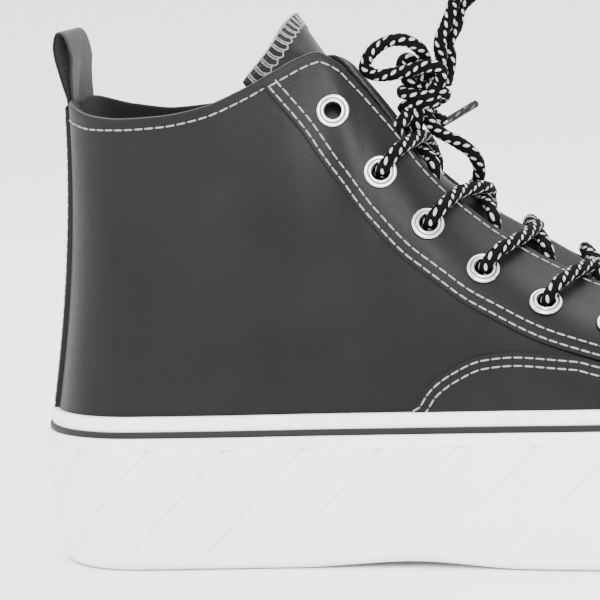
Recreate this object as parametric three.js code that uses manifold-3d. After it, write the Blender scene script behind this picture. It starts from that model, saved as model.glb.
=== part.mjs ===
// High-top lace-up sneaker on a platform sole, right foot, standing empty on its sole.
// Millimetres. +X points to the toe, -Y to the outer side of the foot, +Z up.
// The origin lies on the ground under the middle of the sole.
import * as THREE from 'three';
import { mergeVertices } from 'three/addons/utils/BufferGeometryUtils.js';
import Module from 'manifold-3d';

const wasm = await Module();
wasm.setup();

// Driving dimensions of the shoe
const soleLength = 278;
const ballBreadth = 102;
const soleHeight = 49.6; // ground to the top of the foxing at the heel
const heelHeight = 96.2; // foxing to the collar at the back
const instepHeight = 107.7; // foxing to the top corner of the eyestay
const toeHeight = 25.5; // foxing to the foot of the throat
const wall = 2; // leather with its lining
const seat = 0.3; // clearance between pieces that touch
const seatOnCurve = 0.38; // the same where two bent surfaces lie on each other

// Sole: rubber bands round the edge, counted down from the top of the foxing
const foxingBand = 4.9;
const foxingThickness = 2;
const foxingSetback = 2.3; // from the widest edge of the sole
const stripeBand = 1.8;
const stripeSetback = 1.5;
const lipBand = 3.7;
const lipSlope = 0.8;
const edgeRound = 8; // how far the underside stays inside the widest edge
const facetPitch = 25;
const facetDepth = 1.3;
const facetStart = 2.7; // where the first groove leaves the back of the heel
const facetCrest = 0.39; // share of the pitch from a groove to the next crest
const sideTaper = 2.9;
const insoleThickness = 4;

// Upper
const overlayThickness = 1;
const eyestayDepth = 53; // widest stretch of the eyestay, measured down from the throat
const vampDepth = 17.3; // top of the vamp's wing over the foxing
const backStripWidth = 32;
const eyeletPitch = 22;
const eyeletStart = 0.42; // share of the way round where the first eyelet stands
const eyeletsPerSide = 6;
const eyeletHole = 5.1;
const eyeletFlange = 10.3;
const eyeletFlangeThickness = 1;
const eyeletTube = 0.5; // wall of the eyelet's barrel
const eyeletSides = 8;
const tongueThickness = 4;
const tongueWidth = 48;
const tongueRise = 12; // tongue's top over the eyestay's top corner, at the middle
const loopWidth = 21;
const loopBand = 0.8;
const loopHeight = 23;

// Lace
const laceDiameter = 4;
const laceSides = 8;
const laceClearance = 0.5;
const laceOverRidge = 4.7; // tongue's ridge to the middle of a lace that spans it
const laceDive = 6.5; // a strand ends this far before the next row's strand
const agletDiameter = 2;

// Half breadths of the sole as shares of the ball breadth, along the sole's length
const soleBreadths = [
  { along: 0.0, outer: 0.352, inner: 0.358 },
  { along: 0.165, outer: 0.364, inner: 0.366 },
  { along: 0.3, outer: 0.366, inner: 0.352 },
  { along: 0.45, outer: 0.398, inner: 0.362 },
  { along: 0.57, outer: 0.451, inner: 0.425 },
  { along: 0.66, outer: 0.488, inner: 0.482 },
  { along: 0.72, outer: 0.5, inner: 0.5 },
  { along: 0.84, outer: 0.47, inner: 0.492 },
  { along: 1.0, outer: 0.43, inner: 0.46 },
];
const heelCap = 0.13; // share of the length that the round heel takes
const toeCap = 0.27; // share of the length that the round toe takes

// Underside's lift off the ground and top edge of the foxing, as shares of the sole's height
const soleHeights = [
  { along: 0.0, lift: 0.02, rim: 1.0 },
  { along: 0.06, lift: 0.0, rim: 1.0 },
  { along: 0.31, lift: 0.0, rim: 0.996 },
  { along: 0.45, lift: 0.04, rim: 0.992 },
  { along: 0.58, lift: 0.0, rim: 0.998 },
  { along: 0.78, lift: 0.0, rim: 1.01 },
  { along: 1.0, lift: 0.15, rim: 1.06 },
];

// The opening's edge, one row for each rib of the upper. round: share of the way round the sole
// from heel to toe where the rib starts. x: from the middle over the length. y: over the ball
// breadth. z: share of the height that the row follows. rise: slope of the wall at the edge in
// degrees. lean: how the wall leans inwards where it leaves the foxing. back and drop: how far the
// inner side's edge lies behind and below the outer side's, over the length and over the height.
const openingEdge = [
  { round: 0, x: -0.445, y: 0, z: 1, height: heelHeight, rise: 90, lean: 0.2, back: 0, drop: 0 },
  { round: 0.055, x: -0.434, y: 0.134, z: 0.985, height: heelHeight, rise: 90, lean: 0.19, back: 0, drop: 0 },
  { round: 0.11, x: -0.399, y: 0.24, z: 0.951, height: heelHeight, rise: 90, lean: 0.13, back: 0, drop: 0.008 },
  { round: 0.165, x: -0.356, y: 0.291, z: 0.94, height: heelHeight, rise: 89, lean: 0.05, back: 0, drop: 0.019 },
  { round: 0.22, x: -0.31, y: 0.304, z: 0.944, height: heelHeight, rise: 88, lean: 0.02, back: 0, drop: 0.016 },
  { round: 0.27, x: -0.264, y: 0.3, z: 0.964, height: heelHeight, rise: 87, lean: 0, back: 0, drop: 0.01 },
  { round: 0.32, x: -0.217, y: 0.285, z: 0.905, height: instepHeight, rise: 86, lean: 0, back: 0.005, drop: 0.012 },
  { round: 0.36, x: -0.18, y: 0.262, z: 0.952, height: instepHeight, rise: 84, lean: 0, back: 0.011, drop: 0.02 },
  { round: 0.395, x: -0.15, y: 0.222, z: 0.989, height: instepHeight, rise: 80, lean: 0, back: 0.016, drop: 0.034 },
  { round: 0.41, x: -0.136, y: 0.202, z: 0.998, height: instepHeight, rise: 77, lean: 0, back: 0.018, drop: 0.037 },
  { round: 0.425, x: -0.122, y: 0.187, z: 0.98, height: instepHeight, rise: 72, lean: 0, back: 0.019, drop: 0.034 },
  { round: 0.45, x: -0.1036, y: 0.166, z: 0.926, height: instepHeight, rise: 66, lean: 0, back: 0.02, drop: 0.025 },
  { round: 0.495, x: -0.0712, y: 0.151, z: 0.811, height: instepHeight, rise: 60, lean: 0, back: 0.02, drop: 0.015 },
  { round: 0.54, x: -0.0377, y: 0.14, z: 0.679, height: instepHeight, rise: 54, lean: 0, back: 0.019, drop: 0.01 },
  { round: 0.585, x: 0.0059, y: 0.135, z: 0.5555, height: instepHeight, rise: 48, lean: 0, back: 0.014, drop: 0.005 },
  { round: 0.63, x: 0.0531, y: 0.13, z: 0.456, height: instepHeight, rise: 43, lean: -0.02, back: 0.008, drop: 0 },
  { round: 0.675, x: 0.1052, y: 0.128, z: 0.372, height: instepHeight, rise: 39, lean: -0.03, back: 0.005, drop: 0 },
  { round: 0.725, x: 0.1617, y: 0.12, z: 0.2985, height: instepHeight, rise: 35, lean: -0.04, back: 0.003, drop: 0 },
  { round: 0.78, x: 0.197, y: 0.1, z: 1.08, height: toeHeight, rise: 30, lean: -0.05, back: 0, drop: 0 },
  { round: 0.86, x: 0.21, y: 0.062, z: 1.02, height: toeHeight, rise: 23, lean: -0.05, back: 0, drop: 0 },
  { round: 0.93, x: 0.2145, y: 0.03, z: 1, height: toeHeight, rise: 19, lean: -0.05, back: 0, drop: 0 },
  { round: 1, x: 0.2155, y: 0, z: 1, height: toeHeight, rise: 18, lean: -0.05, back: 0, drop: 0 },
];
const handleShare = 0.33; // length of a rib's two handles over its chord

// Eyestay: how far it reaches down from the opening's edge, over its depth
const eyestayReach = [
  { round: 0.352, down: 0.02 },
  { round: 0.38, down: 0.31 },
  { round: 0.41, down: 0.72 },
  { round: 0.435, down: 0.92 },
  { round: 0.475, down: 1.0 },
  { round: 0.515, down: 0.99 },
  { round: 0.565, down: 0.9 },
  { round: 0.62, down: 0.9 },
  { round: 0.69, down: 0.88 },
  { round: 0.74, down: 0.58 },
  { round: 0.8, down: 0.3 },
  { round: 0.88, down: 0.17 },
  { round: 1.0, down: 0.14 },
];

// Vamp: how far its wing reaches up from the foxing, over its depth
const vampReach = [
  { round: 0.462, up: 0.1 },
  { round: 0.475, up: 0.42 },
  { round: 0.5, up: 0.72 },
  { round: 0.535, up: 0.95 },
  { round: 0.57, up: 1.0 },
  { round: 0.62, up: 0.93 },
  { round: 0.69, up: 0.8 },
  { round: 0.76, up: 3.5 },
  { round: 1.0, up: 6.0 },
];

// Half width of the back strip over its full width, from the foxing up
const backStripOutline = [
  { up: 0.0, half: 0.42 },
  { up: 0.45, half: 0.5 },
  { up: 1.0, half: 0.42 },
];

// Line of the eyelets: how far it runs down from the opening's edge, over the eyestay's depth
const eyeletLine = [
  { round: 0.42, down: 0.33 },
  { round: 0.46, down: 0.53 },
  { round: 0.51, down: 0.613 },
  { round: 0.57, down: 0.61 },
  { round: 0.63, down: 0.607 },
  { round: 0.7, down: 0.575 },
];

// Tongue, from its foot under the vamp to the opening's top corner. The section's middle lies
// over the throat edge at round, by crown tongue thicknesses; its sides lie sink thicknesses
// below the upper's inside. Its wings end at the rib wingRound, wingDown below the opening's
// edge, as a share of the eyestay's depth. down: how far the whole section stays below the edge.
const tongueSections = [
  { round: 0.9, down: 0.22, sink: 0.42, crown: -0.7, wingRound: 0.8, wingDown: 0.6 },
  { round: 0.8, down: 0.0, sink: 0.42, crown: -0.85, wingRound: 0.71, wingDown: 0.5 },
  { round: 0.735, down: 0.0, sink: 0.42, crown: 0.1, wingRound: 0.655, wingDown: 0.57 },
  { round: 0.675, down: 0.0, sink: 0.42, crown: 1.0, wingRound: 0.59, wingDown: 0.66 },
  { round: 0.62, down: 0.0, sink: 0.42, crown: 0.65, wingRound: 0.525, wingDown: 0.8 },
  { round: 0.57, down: 0.0, sink: 0.42, crown: -0.1, wingRound: 0.475, wingDown: 0.76 },
  { round: 0.52, down: 0.0, sink: 0.4, crown: -0.55, wingRound: 0.425, wingDown: 0.66 },
  { round: 0.47, down: 0.0, sink: 0.8, crown: -1.0, wingRound: 0.38, wingDown: 0.42 },
  { round: 0.425, down: 0.0, sink: 1.3, crown: -1.4, wingRound: 0.345, wingDown: 0.2 },
];

// Tongue's top edge from its middle to its side. across: over half the tongue's width. back and
// up: from the opening's top corner, over the tongue's rise.
const tongueTop = [
  { across: 0.0, back: 0.95, up: 1.0 },
  { across: 0.5, back: 1.12, up: 0.62 },
  { across: 0.86, back: 1.4, up: 0.05 },
  { across: 1.0, back: 1.95, up: -0.6 },
];

// Pull loop seen from the side: from the collar's rim up, back over the heel and down again.
// out: towards the heel over the loop's height, up: over the same.
const loopPath = [
  { out: -0.02, up: 0.0 },
  { out: 0.03, up: 0.2 },
  { out: 0.08, up: 0.42 },
  { out: 0.118, up: 0.64 },
  { out: 0.1, up: 0.84 },
  { out: 0.035, up: 0.965 },
  { out: -0.04, up: 0.955 },
  { out: -0.11, up: 0.84 },
  { out: -0.145, up: 0.62 },
  { out: -0.125, up: 0.42 },
  { out: -0.095, up: 0.2 },
  { out: -0.078, up: 0.0 },
];

// Knot and bow. Every point is counted in lace diameters from the knot's middle
const knotPlace = { x: 0.85, y: -0.75, z: 4 }; // from the tongue's ridge at the second eyelets
const knotHalf = { x: 2.25, y: 1.75, z: 1.25 };
const knotLegOuter = [
  { x: -1.25, y: -2.75, z: -1.8 },
  { x: -0.95, y: -1.5, z: -1 },
  { x: 0, y: 0, z: 0 },
];
const knotLegInner = [
  { x: -1.62, y: 2.62, z: -1.62 },
  { x: -0.88, y: 1.5, z: -0.88 },
  { x: 0, y: 0, z: 0 },
];
// Short end behind the knot, up to its aglet
const knotTail = [
  { x: 0, y: 0.5, z: 0 },
  { x: 0.12, y: 1.62, z: -1.62 },
  { x: 0.6, y: 2.1, z: -2.25 },
];
const shortAglet = [
  { x: 1.1, y: 2.42, z: -2.02 },
  { x: 3.3, y: 3.75, z: -0.9 },
];
const rearLoop = [
  { x: 1.5, y: -1, z: 1.05 },
  { x: 1.15, y: -1.07, z: 1.9 },
  { x: 0.1, y: -1.15, z: 2.23 },
  { x: -2.12, y: -1.25, z: 1.88 },
  { x: -3.7, y: -1.62, z: 2.05 },
  { x: -4.33, y: -1.62, z: 2.9 },
  { x: -3.38, y: -1.5, z: 3.88 },
  { x: -1.93, y: -1.25, z: 4.65 },
  { x: -0.7, y: -0.62, z: 4.6 },
  { x: 0.15, y: 0.07, z: 3.8 },
  { x: 0.05, y: 0.97, z: 3.05 },
  { x: -0.7, y: 1.5, z: 2.6 },
  { x: -1.3, y: 1.4, z: 1.9 },
  { x: -1.25, y: 1.15, z: 1.07 },
];
// Loop that stands up towards the toe
const uprightLoop = [
  { x: 1.38, y: 0.5, z: 1.25 },
  { x: 1.5, y: 0.75, z: 2.9 },
  { x: 1.5, y: 0.75, z: 4.38 },
  { x: 2.2, y: 0.75, z: 5.8 },
  { x: 2.8, y: 0.75, z: 7.25 },
  { x: 3.3, y: 0.38, z: 8.5 },
  { x: 4.17, y: 0.75, z: 10 },
  { x: 5.17, y: 1.38, z: 10.5 },
  { x: 5.55, y: 2, z: 9.5 },
  { x: 4.42, y: 2.12, z: 8 },
  { x: 3.08, y: 2, z: 6.88 },
  { x: 2.58, y: 2, z: 5.4 },
  { x: 1.85, y: 1.95, z: 4 },
  { x: 1.95, y: 1.95, z: 2.8 },
  { x: 1.75, y: 1.75, z: 1.48 },
];
const hangingEnd = [
  { x: 0.42, y: -0.25, z: -1.73 },
  { x: 1.38, y: 0, z: -2.7 },
  { x: 2.73, y: 0.25, z: -4.1 },
  { x: 3.75, y: 0.62, z: -4.8 },
  { x: 3.85, y: 1.5, z: -5.05 },
  { x: 3.25, y: 2.45, z: -5.1 },
  { x: 2.65, y: 3.25, z: -5.25 },
];
const hangingAglet = [
  { x: 2.48, y: 3.48, z: -5.3 },
  { x: 1.7, y: 4.15, z: -5.55 },
];

// Reads a table column between its rows on a smooth line that never overshoots them
function column(rows, key, value) {
  return (at) => {
    const last = rows.length - 1;
    const slope = (i) => (rows[i + 1][value] - rows[i][value]) / (rows[i + 1][key] - rows[i][key]);
    const tangent = (i) => {
      if (i === 0) return slope(0);
      if (i === last) return slope(last - 1);
      const a = slope(i - 1);
      const b = slope(i);
      return a * b <= 0 ? 0 : (2 * a * b) / (a + b);
    };
    const x = Math.min(Math.max(at, rows[0][key]), rows[last][key]);
    let i = 0;
    while (i < last - 1 && x > rows[i + 1][key]) i += 1;
    const span = rows[i + 1][key] - rows[i][key];
    const t = (x - rows[i][key]) / span;
    const s = 1 - t;
    return s * s * (1 + 2 * t) * rows[i][value] + t * t * (1 + 2 * s) * rows[i + 1][value]
      + span * t * s * (s * tangent(i) - t * tangent(i + 1));
  };
}

// Numbers from a to b in equal steps, both ends included
const steps = (a, b, count) => Array.from({ length: count + 1 }, (_, i) => a + ((b - a) * i) / count);

// Closed solid through a list of sections with equally many points each. Open at neither end:
// the first and last section are capped across, or joined to each other in a ring.
function loft(sections, { ring = false, apex = 0 } = {}) {
  const size = sections[0].length;
  const position = sections.flat().flatMap((p) => [p.x, p.y, p.z]);
  const index = [];
  const quad = (a, b, c, d) => index.push(a, b, c, a, c, d);
  const bands = ring ? sections.length : sections.length - 1;
  for (let k = 0; k < bands; k += 1) {
    const near = k * size;
    const far = ((k + 1) % sections.length) * size;
    for (let j = 0; j < size; j += 1) {
      const next = (j + 1) % size;
      quad(near + j, near + next, far + next, far + j);
    }
  }
  const across = (j) => (size - 1 + apex - j) % size;
  for (let j = 0; !ring && j < size / 2 - (1 - apex); j += 1) {
    const end = (sections.length - 1) * size;
    quad(j, across(j), across(j + 1), j + 1);
    quad(end + j, end + j + 1, end + across(j + 1), end + across(j));
  }
  const raw = new THREE.BufferGeometry();
  raw.setAttribute('position', new THREE.Float32BufferAttribute(position, 3));
  raw.setIndex(index);
  return solid(raw);
}

// Merged closed mesh of a geometry as a solid, with its faces turned outwards
function solid(geometry) {
  const bare = geometry.clone();
  bare.deleteAttribute('normal');
  bare.deleteAttribute('uv');
  const merged = mergeVertices(bare, 1e-4);
  const vertProperties = new Float32Array(merged.attributes.position.array);
  const corner = (i) => new THREE.Vector3().fromArray(vertProperties, 3 * i);
  let triangles = [];
  let volume = 0;
  for (let i = 0; i < merged.index.count; i += 3) {
    const [a, b, c] = [0, 1, 2].map((k) => merged.index.getX(i + k));
    if (a !== b && b !== c && a !== c) {
      triangles.push([a, b, c]);
      volume += corner(a).dot(corner(b).cross(corner(c)));
    }
  }
  if (volume < 0) triangles = triangles.map(([a, b, c]) => [a, c, b]);
  const triVerts = new Uint32Array(triangles.flat());
  return new wasm.Manifold(new wasm.Mesh({ numProp: 3, vertProperties, triVerts }));
}

const sneaker = new THREE.Group();

// Adds a finished solid to the shoe as a named mesh
function add(name, piece, material) {
  const { vertProperties, triVerts } = piece.getMesh();
  const geometry = new THREE.BufferGeometry();
  geometry.setAttribute('position', new THREE.BufferAttribute(new Float32Array(vertProperties), 3));
  geometry.setIndex(new THREE.BufferAttribute(new Uint32Array(triVerts), 1));
  geometry.computeVertexNormals();
  const mesh = new THREE.Mesh(geometry, material);
  mesh.name = name;
  sneaker.add(mesh);
}

const finish = (color, roughness, metalness = 0) => new THREE.MeshStandardMaterial({
  color, roughness, metalness, flatShading: true,
});
const leather = finish('#444446', 0.5);
const rubber = finish('#f2f2f1', 0.45);
const stripeRubber = finish('#48484a', 0.6);
const textile = finish('#3a3a3b', 0.9);
const metal = finish('#d9dadb', 0.18, 1);
const laceCord = finish('#2a2a2b', 0.85);
const agletFilm = finish('#55524e', 0.3);

// The sole's widest outline as one closed curve: from the heel along the outer side to the toe,
// and back along the inner side
function outlineSide(side) {
  const breadth = column(soleBreadths, 'along', side);
  const heelTurn = steps(0, Math.PI / 2, 9).map((a) => heelCap * (1 - Math.cos(a)));
  const middle = steps(heelCap, 1 - toeCap, 11).slice(1, -1);
  const toeTurn = steps(0, Math.PI / 2, 12).map((a) => 1 - toeCap + toeCap * Math.sin(a));
  return [...heelTurn, ...middle, ...toeTurn].map((along) => {
    const heel = Math.max(0, 1 - along / heelCap);
    const toe = Math.max(0, (along - 1 + toeCap) / toeCap);
    const round = Math.sqrt(Math.max(0, 1 - heel ** 2)) * Math.sqrt(Math.max(0, 1 - toe ** 2.3));
    const half = breadth(along) * round * ballBreadth;
    return new THREE.Vector3((along - 0.5) * soleLength, side === 'outer' ? -half : half, 0);
  });
}
const outerSide = outlineSide('outer');
const innerSide = outlineSide('inner').reverse();
const soleCurve = new THREE.CatmullRomCurve3([...outerSide, ...innerSide.slice(1, -1)], true);
soleCurve.arcLengthDivisions = 10 * soleCurve.points.length;
const curveLengths = soleCurve.getLengths();
const soleGirth = curveLengths[curveLengths.length - 1];
const toeShare = curveLengths[10 * (outerSide.length - 1)] / soleGirth;

// Point of the outline moved inwards. q runs from -1 at the toe along the outer side to 0 at
// the heel, and along the inner side to 1 at the toe again.
function outline(q, inset, height) {
  const turn = q > 1 ? q - 2 : q < -1 ? q + 2 : q;
  const share = turn <= 0 ? -turn * toeShare : 1 - turn * (1 - toeShare);
  const p = soleCurve.getPointAt(share);
  const t = soleCurve.getTangentAt(share);
  const x = p.x - t.y * inset;
  return new THREE.Vector3(x, p.y + t.x * inset, height(x));
}
const sideLength = { outer: toeShare * soleGirth, inner: (1 - toeShare) * soleGirth };

const alongSole = (x) => x / soleLength + 0.5;
const liftShare = column(soleHeights, 'along', 'lift');
const rimShare = column(soleHeights, 'along', 'rim');
const ground = (x) => liftShare(alongSole(x)) * soleHeight;
const rim = (x) => rimShare(alongSole(x)) * soleHeight;

// Places round the shoe that its rings and ribs share, closer together at the top corner
const roundSteps = [
  ...steps(0, 0.34, 9).slice(0, -1),
  ...steps(0.34, 0.46, 8).slice(0, -1),
  ...steps(0.46, 0.8, 9).slice(0, -1),
  ...steps(0.8, 1, 6),
];
const ringQ = [...roundSteps.map((f) => -f).reverse(), ...roundSteps.slice(1, -1)];
const aroundSole = (inset, height) => ringQ.map((q) => outline(q, inset, height));

// Sole
const footbed = foxingBand + stripeBand; // the moulding's flat top, below the foxing's top
const sideTop = footbed + lipBand;
const upperInset = foxingSetback + foxingThickness + seat;
const onGround = (up) => (x) => ground(x) + up;
const belowRim = (down) => (x) => rim(x) - down;

// Inset of the faceted side wall. level: 0 at its foot, 1 under the lip. way: millimetres from
// the heel towards the toe at that level, less the slant of the grooves.
function facetInset(level, way) {
  const phase = (((way - facetStart) / facetPitch) % 1 + 1) % 1;
  const ridge = phase < facetCrest ? 1 - phase / facetCrest : (phase - facetCrest) / (1 - facetCrest);
  const depth = facetDepth * (0.25 + 0.75 * level);
  return sideTaper * (1 - level) ** 2 + (level > 0 ? depth * ridge : facetDepth * 0.25);
}

function soleMoulding() {
  const core = facetDepth + 2;
  const body = loft([
    aroundSole(edgeRound, onGround(0)),
    aroundSole(edgeRound * 0.58, onGround(1.4)),
    aroundSole(core, onGround(4)),
    aroundSole(core, belowRim(sideTop)),
    aroundSole(0, belowRim(sideTop)),
    aroundSole(0, belowRim(sideTop - 0.35 * lipBand)),
    aroundSole(lipSlope, belowRim(footbed + 0.4)),
    aroundSole(lipSlope + 0.5, belowRim(footbed)),
  ], { apex: 1 });
  // Columns of the side wall follow the grooves, which climb towards the toe at 45 degrees
  const foot = 3.4;
  const levels = [0, 0.12, 0.5, 1];
  const belt = (side) => {
    const count = Math.ceil(sideLength[side] / facetPitch) + 3;
    const ways = steps(-2, count, count + 2).flatMap((k) => [0, facetCrest]
      .map((share) => facetStart + (k + share) * facetPitch));
    return ways.map((way) => ({ side, way }));
  };
  const columns = [...belt('outer').reverse(), ...belt('inner')];
  const sections = columns.map(({ side, way }) => {
    const sign = side === 'outer' ? -1 : 1;
    const column = levels.map((level) => {
      const climb = level * (soleHeight - sideTop - foot);
      const travel = Math.min(Math.max(way + climb, 0), sideLength[side]);
      const height = (x) => ground(x) + foot + level * (rim(x) - sideTop + 0.2 - ground(x) - foot);
      const q = (sign * travel) / sideLength[side];
      return {
        skin: outline(q, facetInset(level, travel - climb), height),
        back: outline(q, core + 3, height),
      };
    });
    return [...column.map((p) => p.skin), ...column.map((p) => p.back).reverse()];
  });
  return body.add(loft(sections, { ring: true }));
}
add('platform_sole', soleMoulding(), rubber);

// Band round the sole: its section is a list of insets with heights below the rim
const band = (profile) => loft(
  ringQ.map((q) => profile.map(([inset, down]) => outline(q, inset, belowRim(down)))),
  { ring: true },
);
const bandBack = foxingSetback + foxingThickness;
add('pinstripe', band([
  [bandBack, footbed - seat],
  [stripeSetback, footbed - seat],
  [stripeSetback, foxingBand],
  [bandBack, foxingBand],
]), stripeRubber);
add('foxing', band([
  [bandBack, foxingBand - seat],
  [foxingSetback + 0.25, foxingBand - seat],
  [foxingSetback, foxingBand - 1],
  [foxingSetback, 1],
  [foxingSetback + 0.5, 0],
  [bandBack, 0],
]), rubber);

const insoleInset = upperInset + wall + seatOnCurve;
add('insole', loft([
  aroundSole(insoleInset, belowRim(footbed - seat)),
  aroundSole(insoleInset, belowRim(footbed - seat - insoleThickness)),
], { apex: 1 }), textile);

// Upper: a rib at every q climbs from the foxing to the opening's edge as one cubic curve
const edgeRows = openingEdge.map((row) => ({ ...row, up: row.z * row.height }));
const edgeX = column(edgeRows, 'round', 'x');
const edgeY = column(edgeRows, 'round', 'y');
const edgeUp = column(edgeRows, 'round', 'up');
const edgeRise = column(edgeRows, 'round', 'rise');
const edgeLean = column(edgeRows, 'round', 'lean');
const innerBack = column(edgeRows, 'round', 'back');
const innerDrop = column(edgeRows.map((row) => ({ ...row, fall: row.drop * row.height })), 'round', 'fall');
const ribs = new Map();

function rib(q) {
  const turn = q > 1 ? q - 2 : q < -1 ? q + 2 : q;
  if (!ribs.has(turn)) ribs.set(turn, makeRib(turn));
  return ribs.get(turn);
}

function makeRib(q) {
  const round = Math.abs(q);
  const foot = outline(q, upperInset, rim);
  const inner = outline(q, upperInset + 1, rim).sub(foot).setZ(0);
  const innerSide = q > 0 ? 1 : 0;
  const edge = new THREE.Vector3(
    (edgeX(round) - innerSide * innerBack(round)) * soleLength,
    Math.sign(q) * edgeY(round) * ballBreadth,
    soleHeight + edgeUp(round) - innerSide * innerDrop(round),
  );
  const chord = edge.clone().sub(foot);
  const handle = handleShare * chord.length();
  const rise = THREE.MathUtils.degToRad(edgeRise(round));
  const flat = chord.clone().setZ(0).normalize();
  const start = foot.clone().addScaledVector(inner, handle * edgeLean(round));
  start.z += handle;
  const end = edge.clone().addScaledVector(flat, -handle * Math.cos(rise));
  end.z -= handle * Math.sin(rise);
  const curve = new THREE.CubicBezierCurve3(foot, start, end, edge);
  curve.arcLengthDivisions = 60;
  return curve;
}

// The upper's own surface. u runs up a rib, 0 at the foxing and 1 at the opening's edge;
// below 0 it drops straight down inside the foxing.
function skin(q, u) {
  if (u >= 0) return rib(q).getPointAt(Math.min(u, 1));
  const p = rib(q).getPointAt(0);
  return p.setZ(p.z + u * footbed);
}

// Outward direction of that surface
function outward(q, u) {
  const dq = 0.004;
  const du = 0.01;
  const high = Math.min(Math.max(u, 0) + du, 1);
  const low = Math.max(high - 2 * du, 0);
  const round = skin(q + dq, Math.max(u, 0)).sub(skin(q - dq, Math.max(u, 0)));
  const up = u <= 0 ? new THREE.Vector3(0, 0, 1) : skin(q, high).sub(skin(q, low));
  return up.cross(round).normalize();
}

const offSkin = (q, u, out) => skin(q, u).addScaledVector(outward(q, u), out);

// Solid between two distances from the skin, over the stretch of u that each column gives
const layer = (qs, span, low, high, rows) => qs.map((q) => {
  const us = steps(...span(q), rows);
  return [
    ...us.map((u) => offSkin(q, u, high)),
    ...us.map((u) => offSkin(q, u, low)).reverse(),
  ];
});

const overlayHigh = seatOnCurve + overlayThickness;
const overlayRoot = -wall / 4;
const ribShare = (q, millimetres) => millimetres / rib(q).getLength();
const eyestayDown = column(eyestayReach, 'round', 'down');
const vampUp = column(vampReach, 'round', 'up');
const edgeMargin = 0.5;

function eyestayFoot(q) {
  return 1 - ribShare(q, eyestayDown(Math.abs(q)) * eyestayDepth + edgeMargin + overlayThickness);
}

function vampTop(q) {
  return Math.min(ribShare(q, vampUp(Math.abs(q)) * vampDepth), eyestayFoot(q) - ribShare(q, 2 * seat));
}

// Eyelets stand at equal steps along their line below the throat's edge
const eyeletDown = column(eyeletLine, 'round', 'down');
function eyeletPlaces(sign) {
  const line = steps(eyeletStart, 0.8, 80).map((f) => {
    const q = sign * f;
    const u = 1 - ribShare(q, eyeletDown(f) * eyestayDepth);
    return { q, u, at: skin(q, u) };
  });
  const places = [];
  let walked = 0;
  let next = 0.01;
  for (let i = 1; i < line.length && places.length < eyeletsPerSide; i += 1) {
    walked += line[i].at.distanceTo(line[i - 1].at);
    if (walked >= next) {
      places.push(line[i]);
      next += eyeletPitch;
    }
  }
  return places;
}
const sides = [
  { name: 'outer', sign: -1 },
  { name: 'inner', sign: 1 },
];
const eyelets = sides.flatMap(({ name, sign }) => eyeletPlaces(sign).map((place, i) => ({
  ...place, sign, row: i, name: `eyelet_${name}_${i + 1}`, axis: outward(place.q, place.u),
})));

// Turns a geometry whose axis is +Y to the given direction and moves it to a point
function aim(geometry, axis, at) {
  const turn = new THREE.Quaternion().setFromUnitVectors(new THREE.Vector3(0, 1, 0), axis);
  return geometry.clone().applyQuaternion(turn).translate(at.x, at.y, at.z);
}
const barrelRadius = eyeletHole / 2 + eyeletTube;
const boreRadius = barrelRadius + seat;
const drill = ({ at, axis }, radius, low, high) => {
  const rod = new THREE.CylinderGeometry(radius, radius, high - low, eyeletSides);
  return solid(aim(rod, axis, at.clone().addScaledVector(axis, (low + high) / 2)));
};
const bored = (piece) => eyelets.reduce(
  (body, eyelet) => body.subtract(drill(eyelet, boreRadius, -3 * wall, 3 * wall)),
  piece,
);
// Each eyelet's flange presses a flat spot into the eyestay
const pressed = (piece) => eyelets.reduce(
  (body, eyelet) => body.subtract(drill(eyelet, eyeletFlange / 2 + seat, overlayHigh, 3 * wall)),
  piece,
);

const shell = (out, inside) => loft(ringQ.map((q) => {
  const us = [-1 + seat / footbed, ...steps(0, 1, 6)];
  return [
    ...us.map((u) => offSkin(q, u, out)),
    ...us.map((u) => offSkin(q, u, -inside)).reverse(),
  ];
}), { ring: true });
add('upper', bored(shell(0, wall)), leather);

// An overlay's inside is cut to lie one clearance off the upper
const bed = shell(seatOnCurve, wall);
const onUpper = (piece) => piece.subtract(bed);

const throatQ = (from) => {
  const fs = [from, ...roundSteps.filter((f) => f > from + 0.004)];
  return [...fs.map((f) => -f), ...fs.slice(0, -1).reverse()];
};
const eyestaySpan = (q) => [eyestayFoot(q), 1 - ribShare(q, edgeMargin)];
add('eyestay', bored(pressed(onUpper(loft(
  layer(throatQ(eyestayReach[0].round), eyestaySpan, overlayRoot, overlayHigh, 3),
)))), leather);
const vampSpan = (q) => [ribShare(q, edgeMargin), vampTop(q)];
add('vamp', onUpper(loft(
  layer(throatQ(vampReach[0].round), vampSpan, overlayRoot, overlayHigh, 6),
)), leather);

// Back strip over the heel seam
const stripHalf = column(backStripOutline, 'up', 'half');
const stripSection = (u) => {
  const qs = steps(-1, 1, 6).map((w) => (w * stripHalf(u) * backStripWidth) / sideLength.outer);
  return [
    ...qs.map((q) => offSkin(q, u, overlayHigh)),
    ...qs.map((q) => offSkin(q, u, overlayRoot)).reverse(),
  ];
};
const stripEnd = ribShare(0, edgeMargin);
add('back_strip', onUpper(loft(steps(stripEnd, 1 - stripEnd, 9).map(stripSection))), leather);

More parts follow.
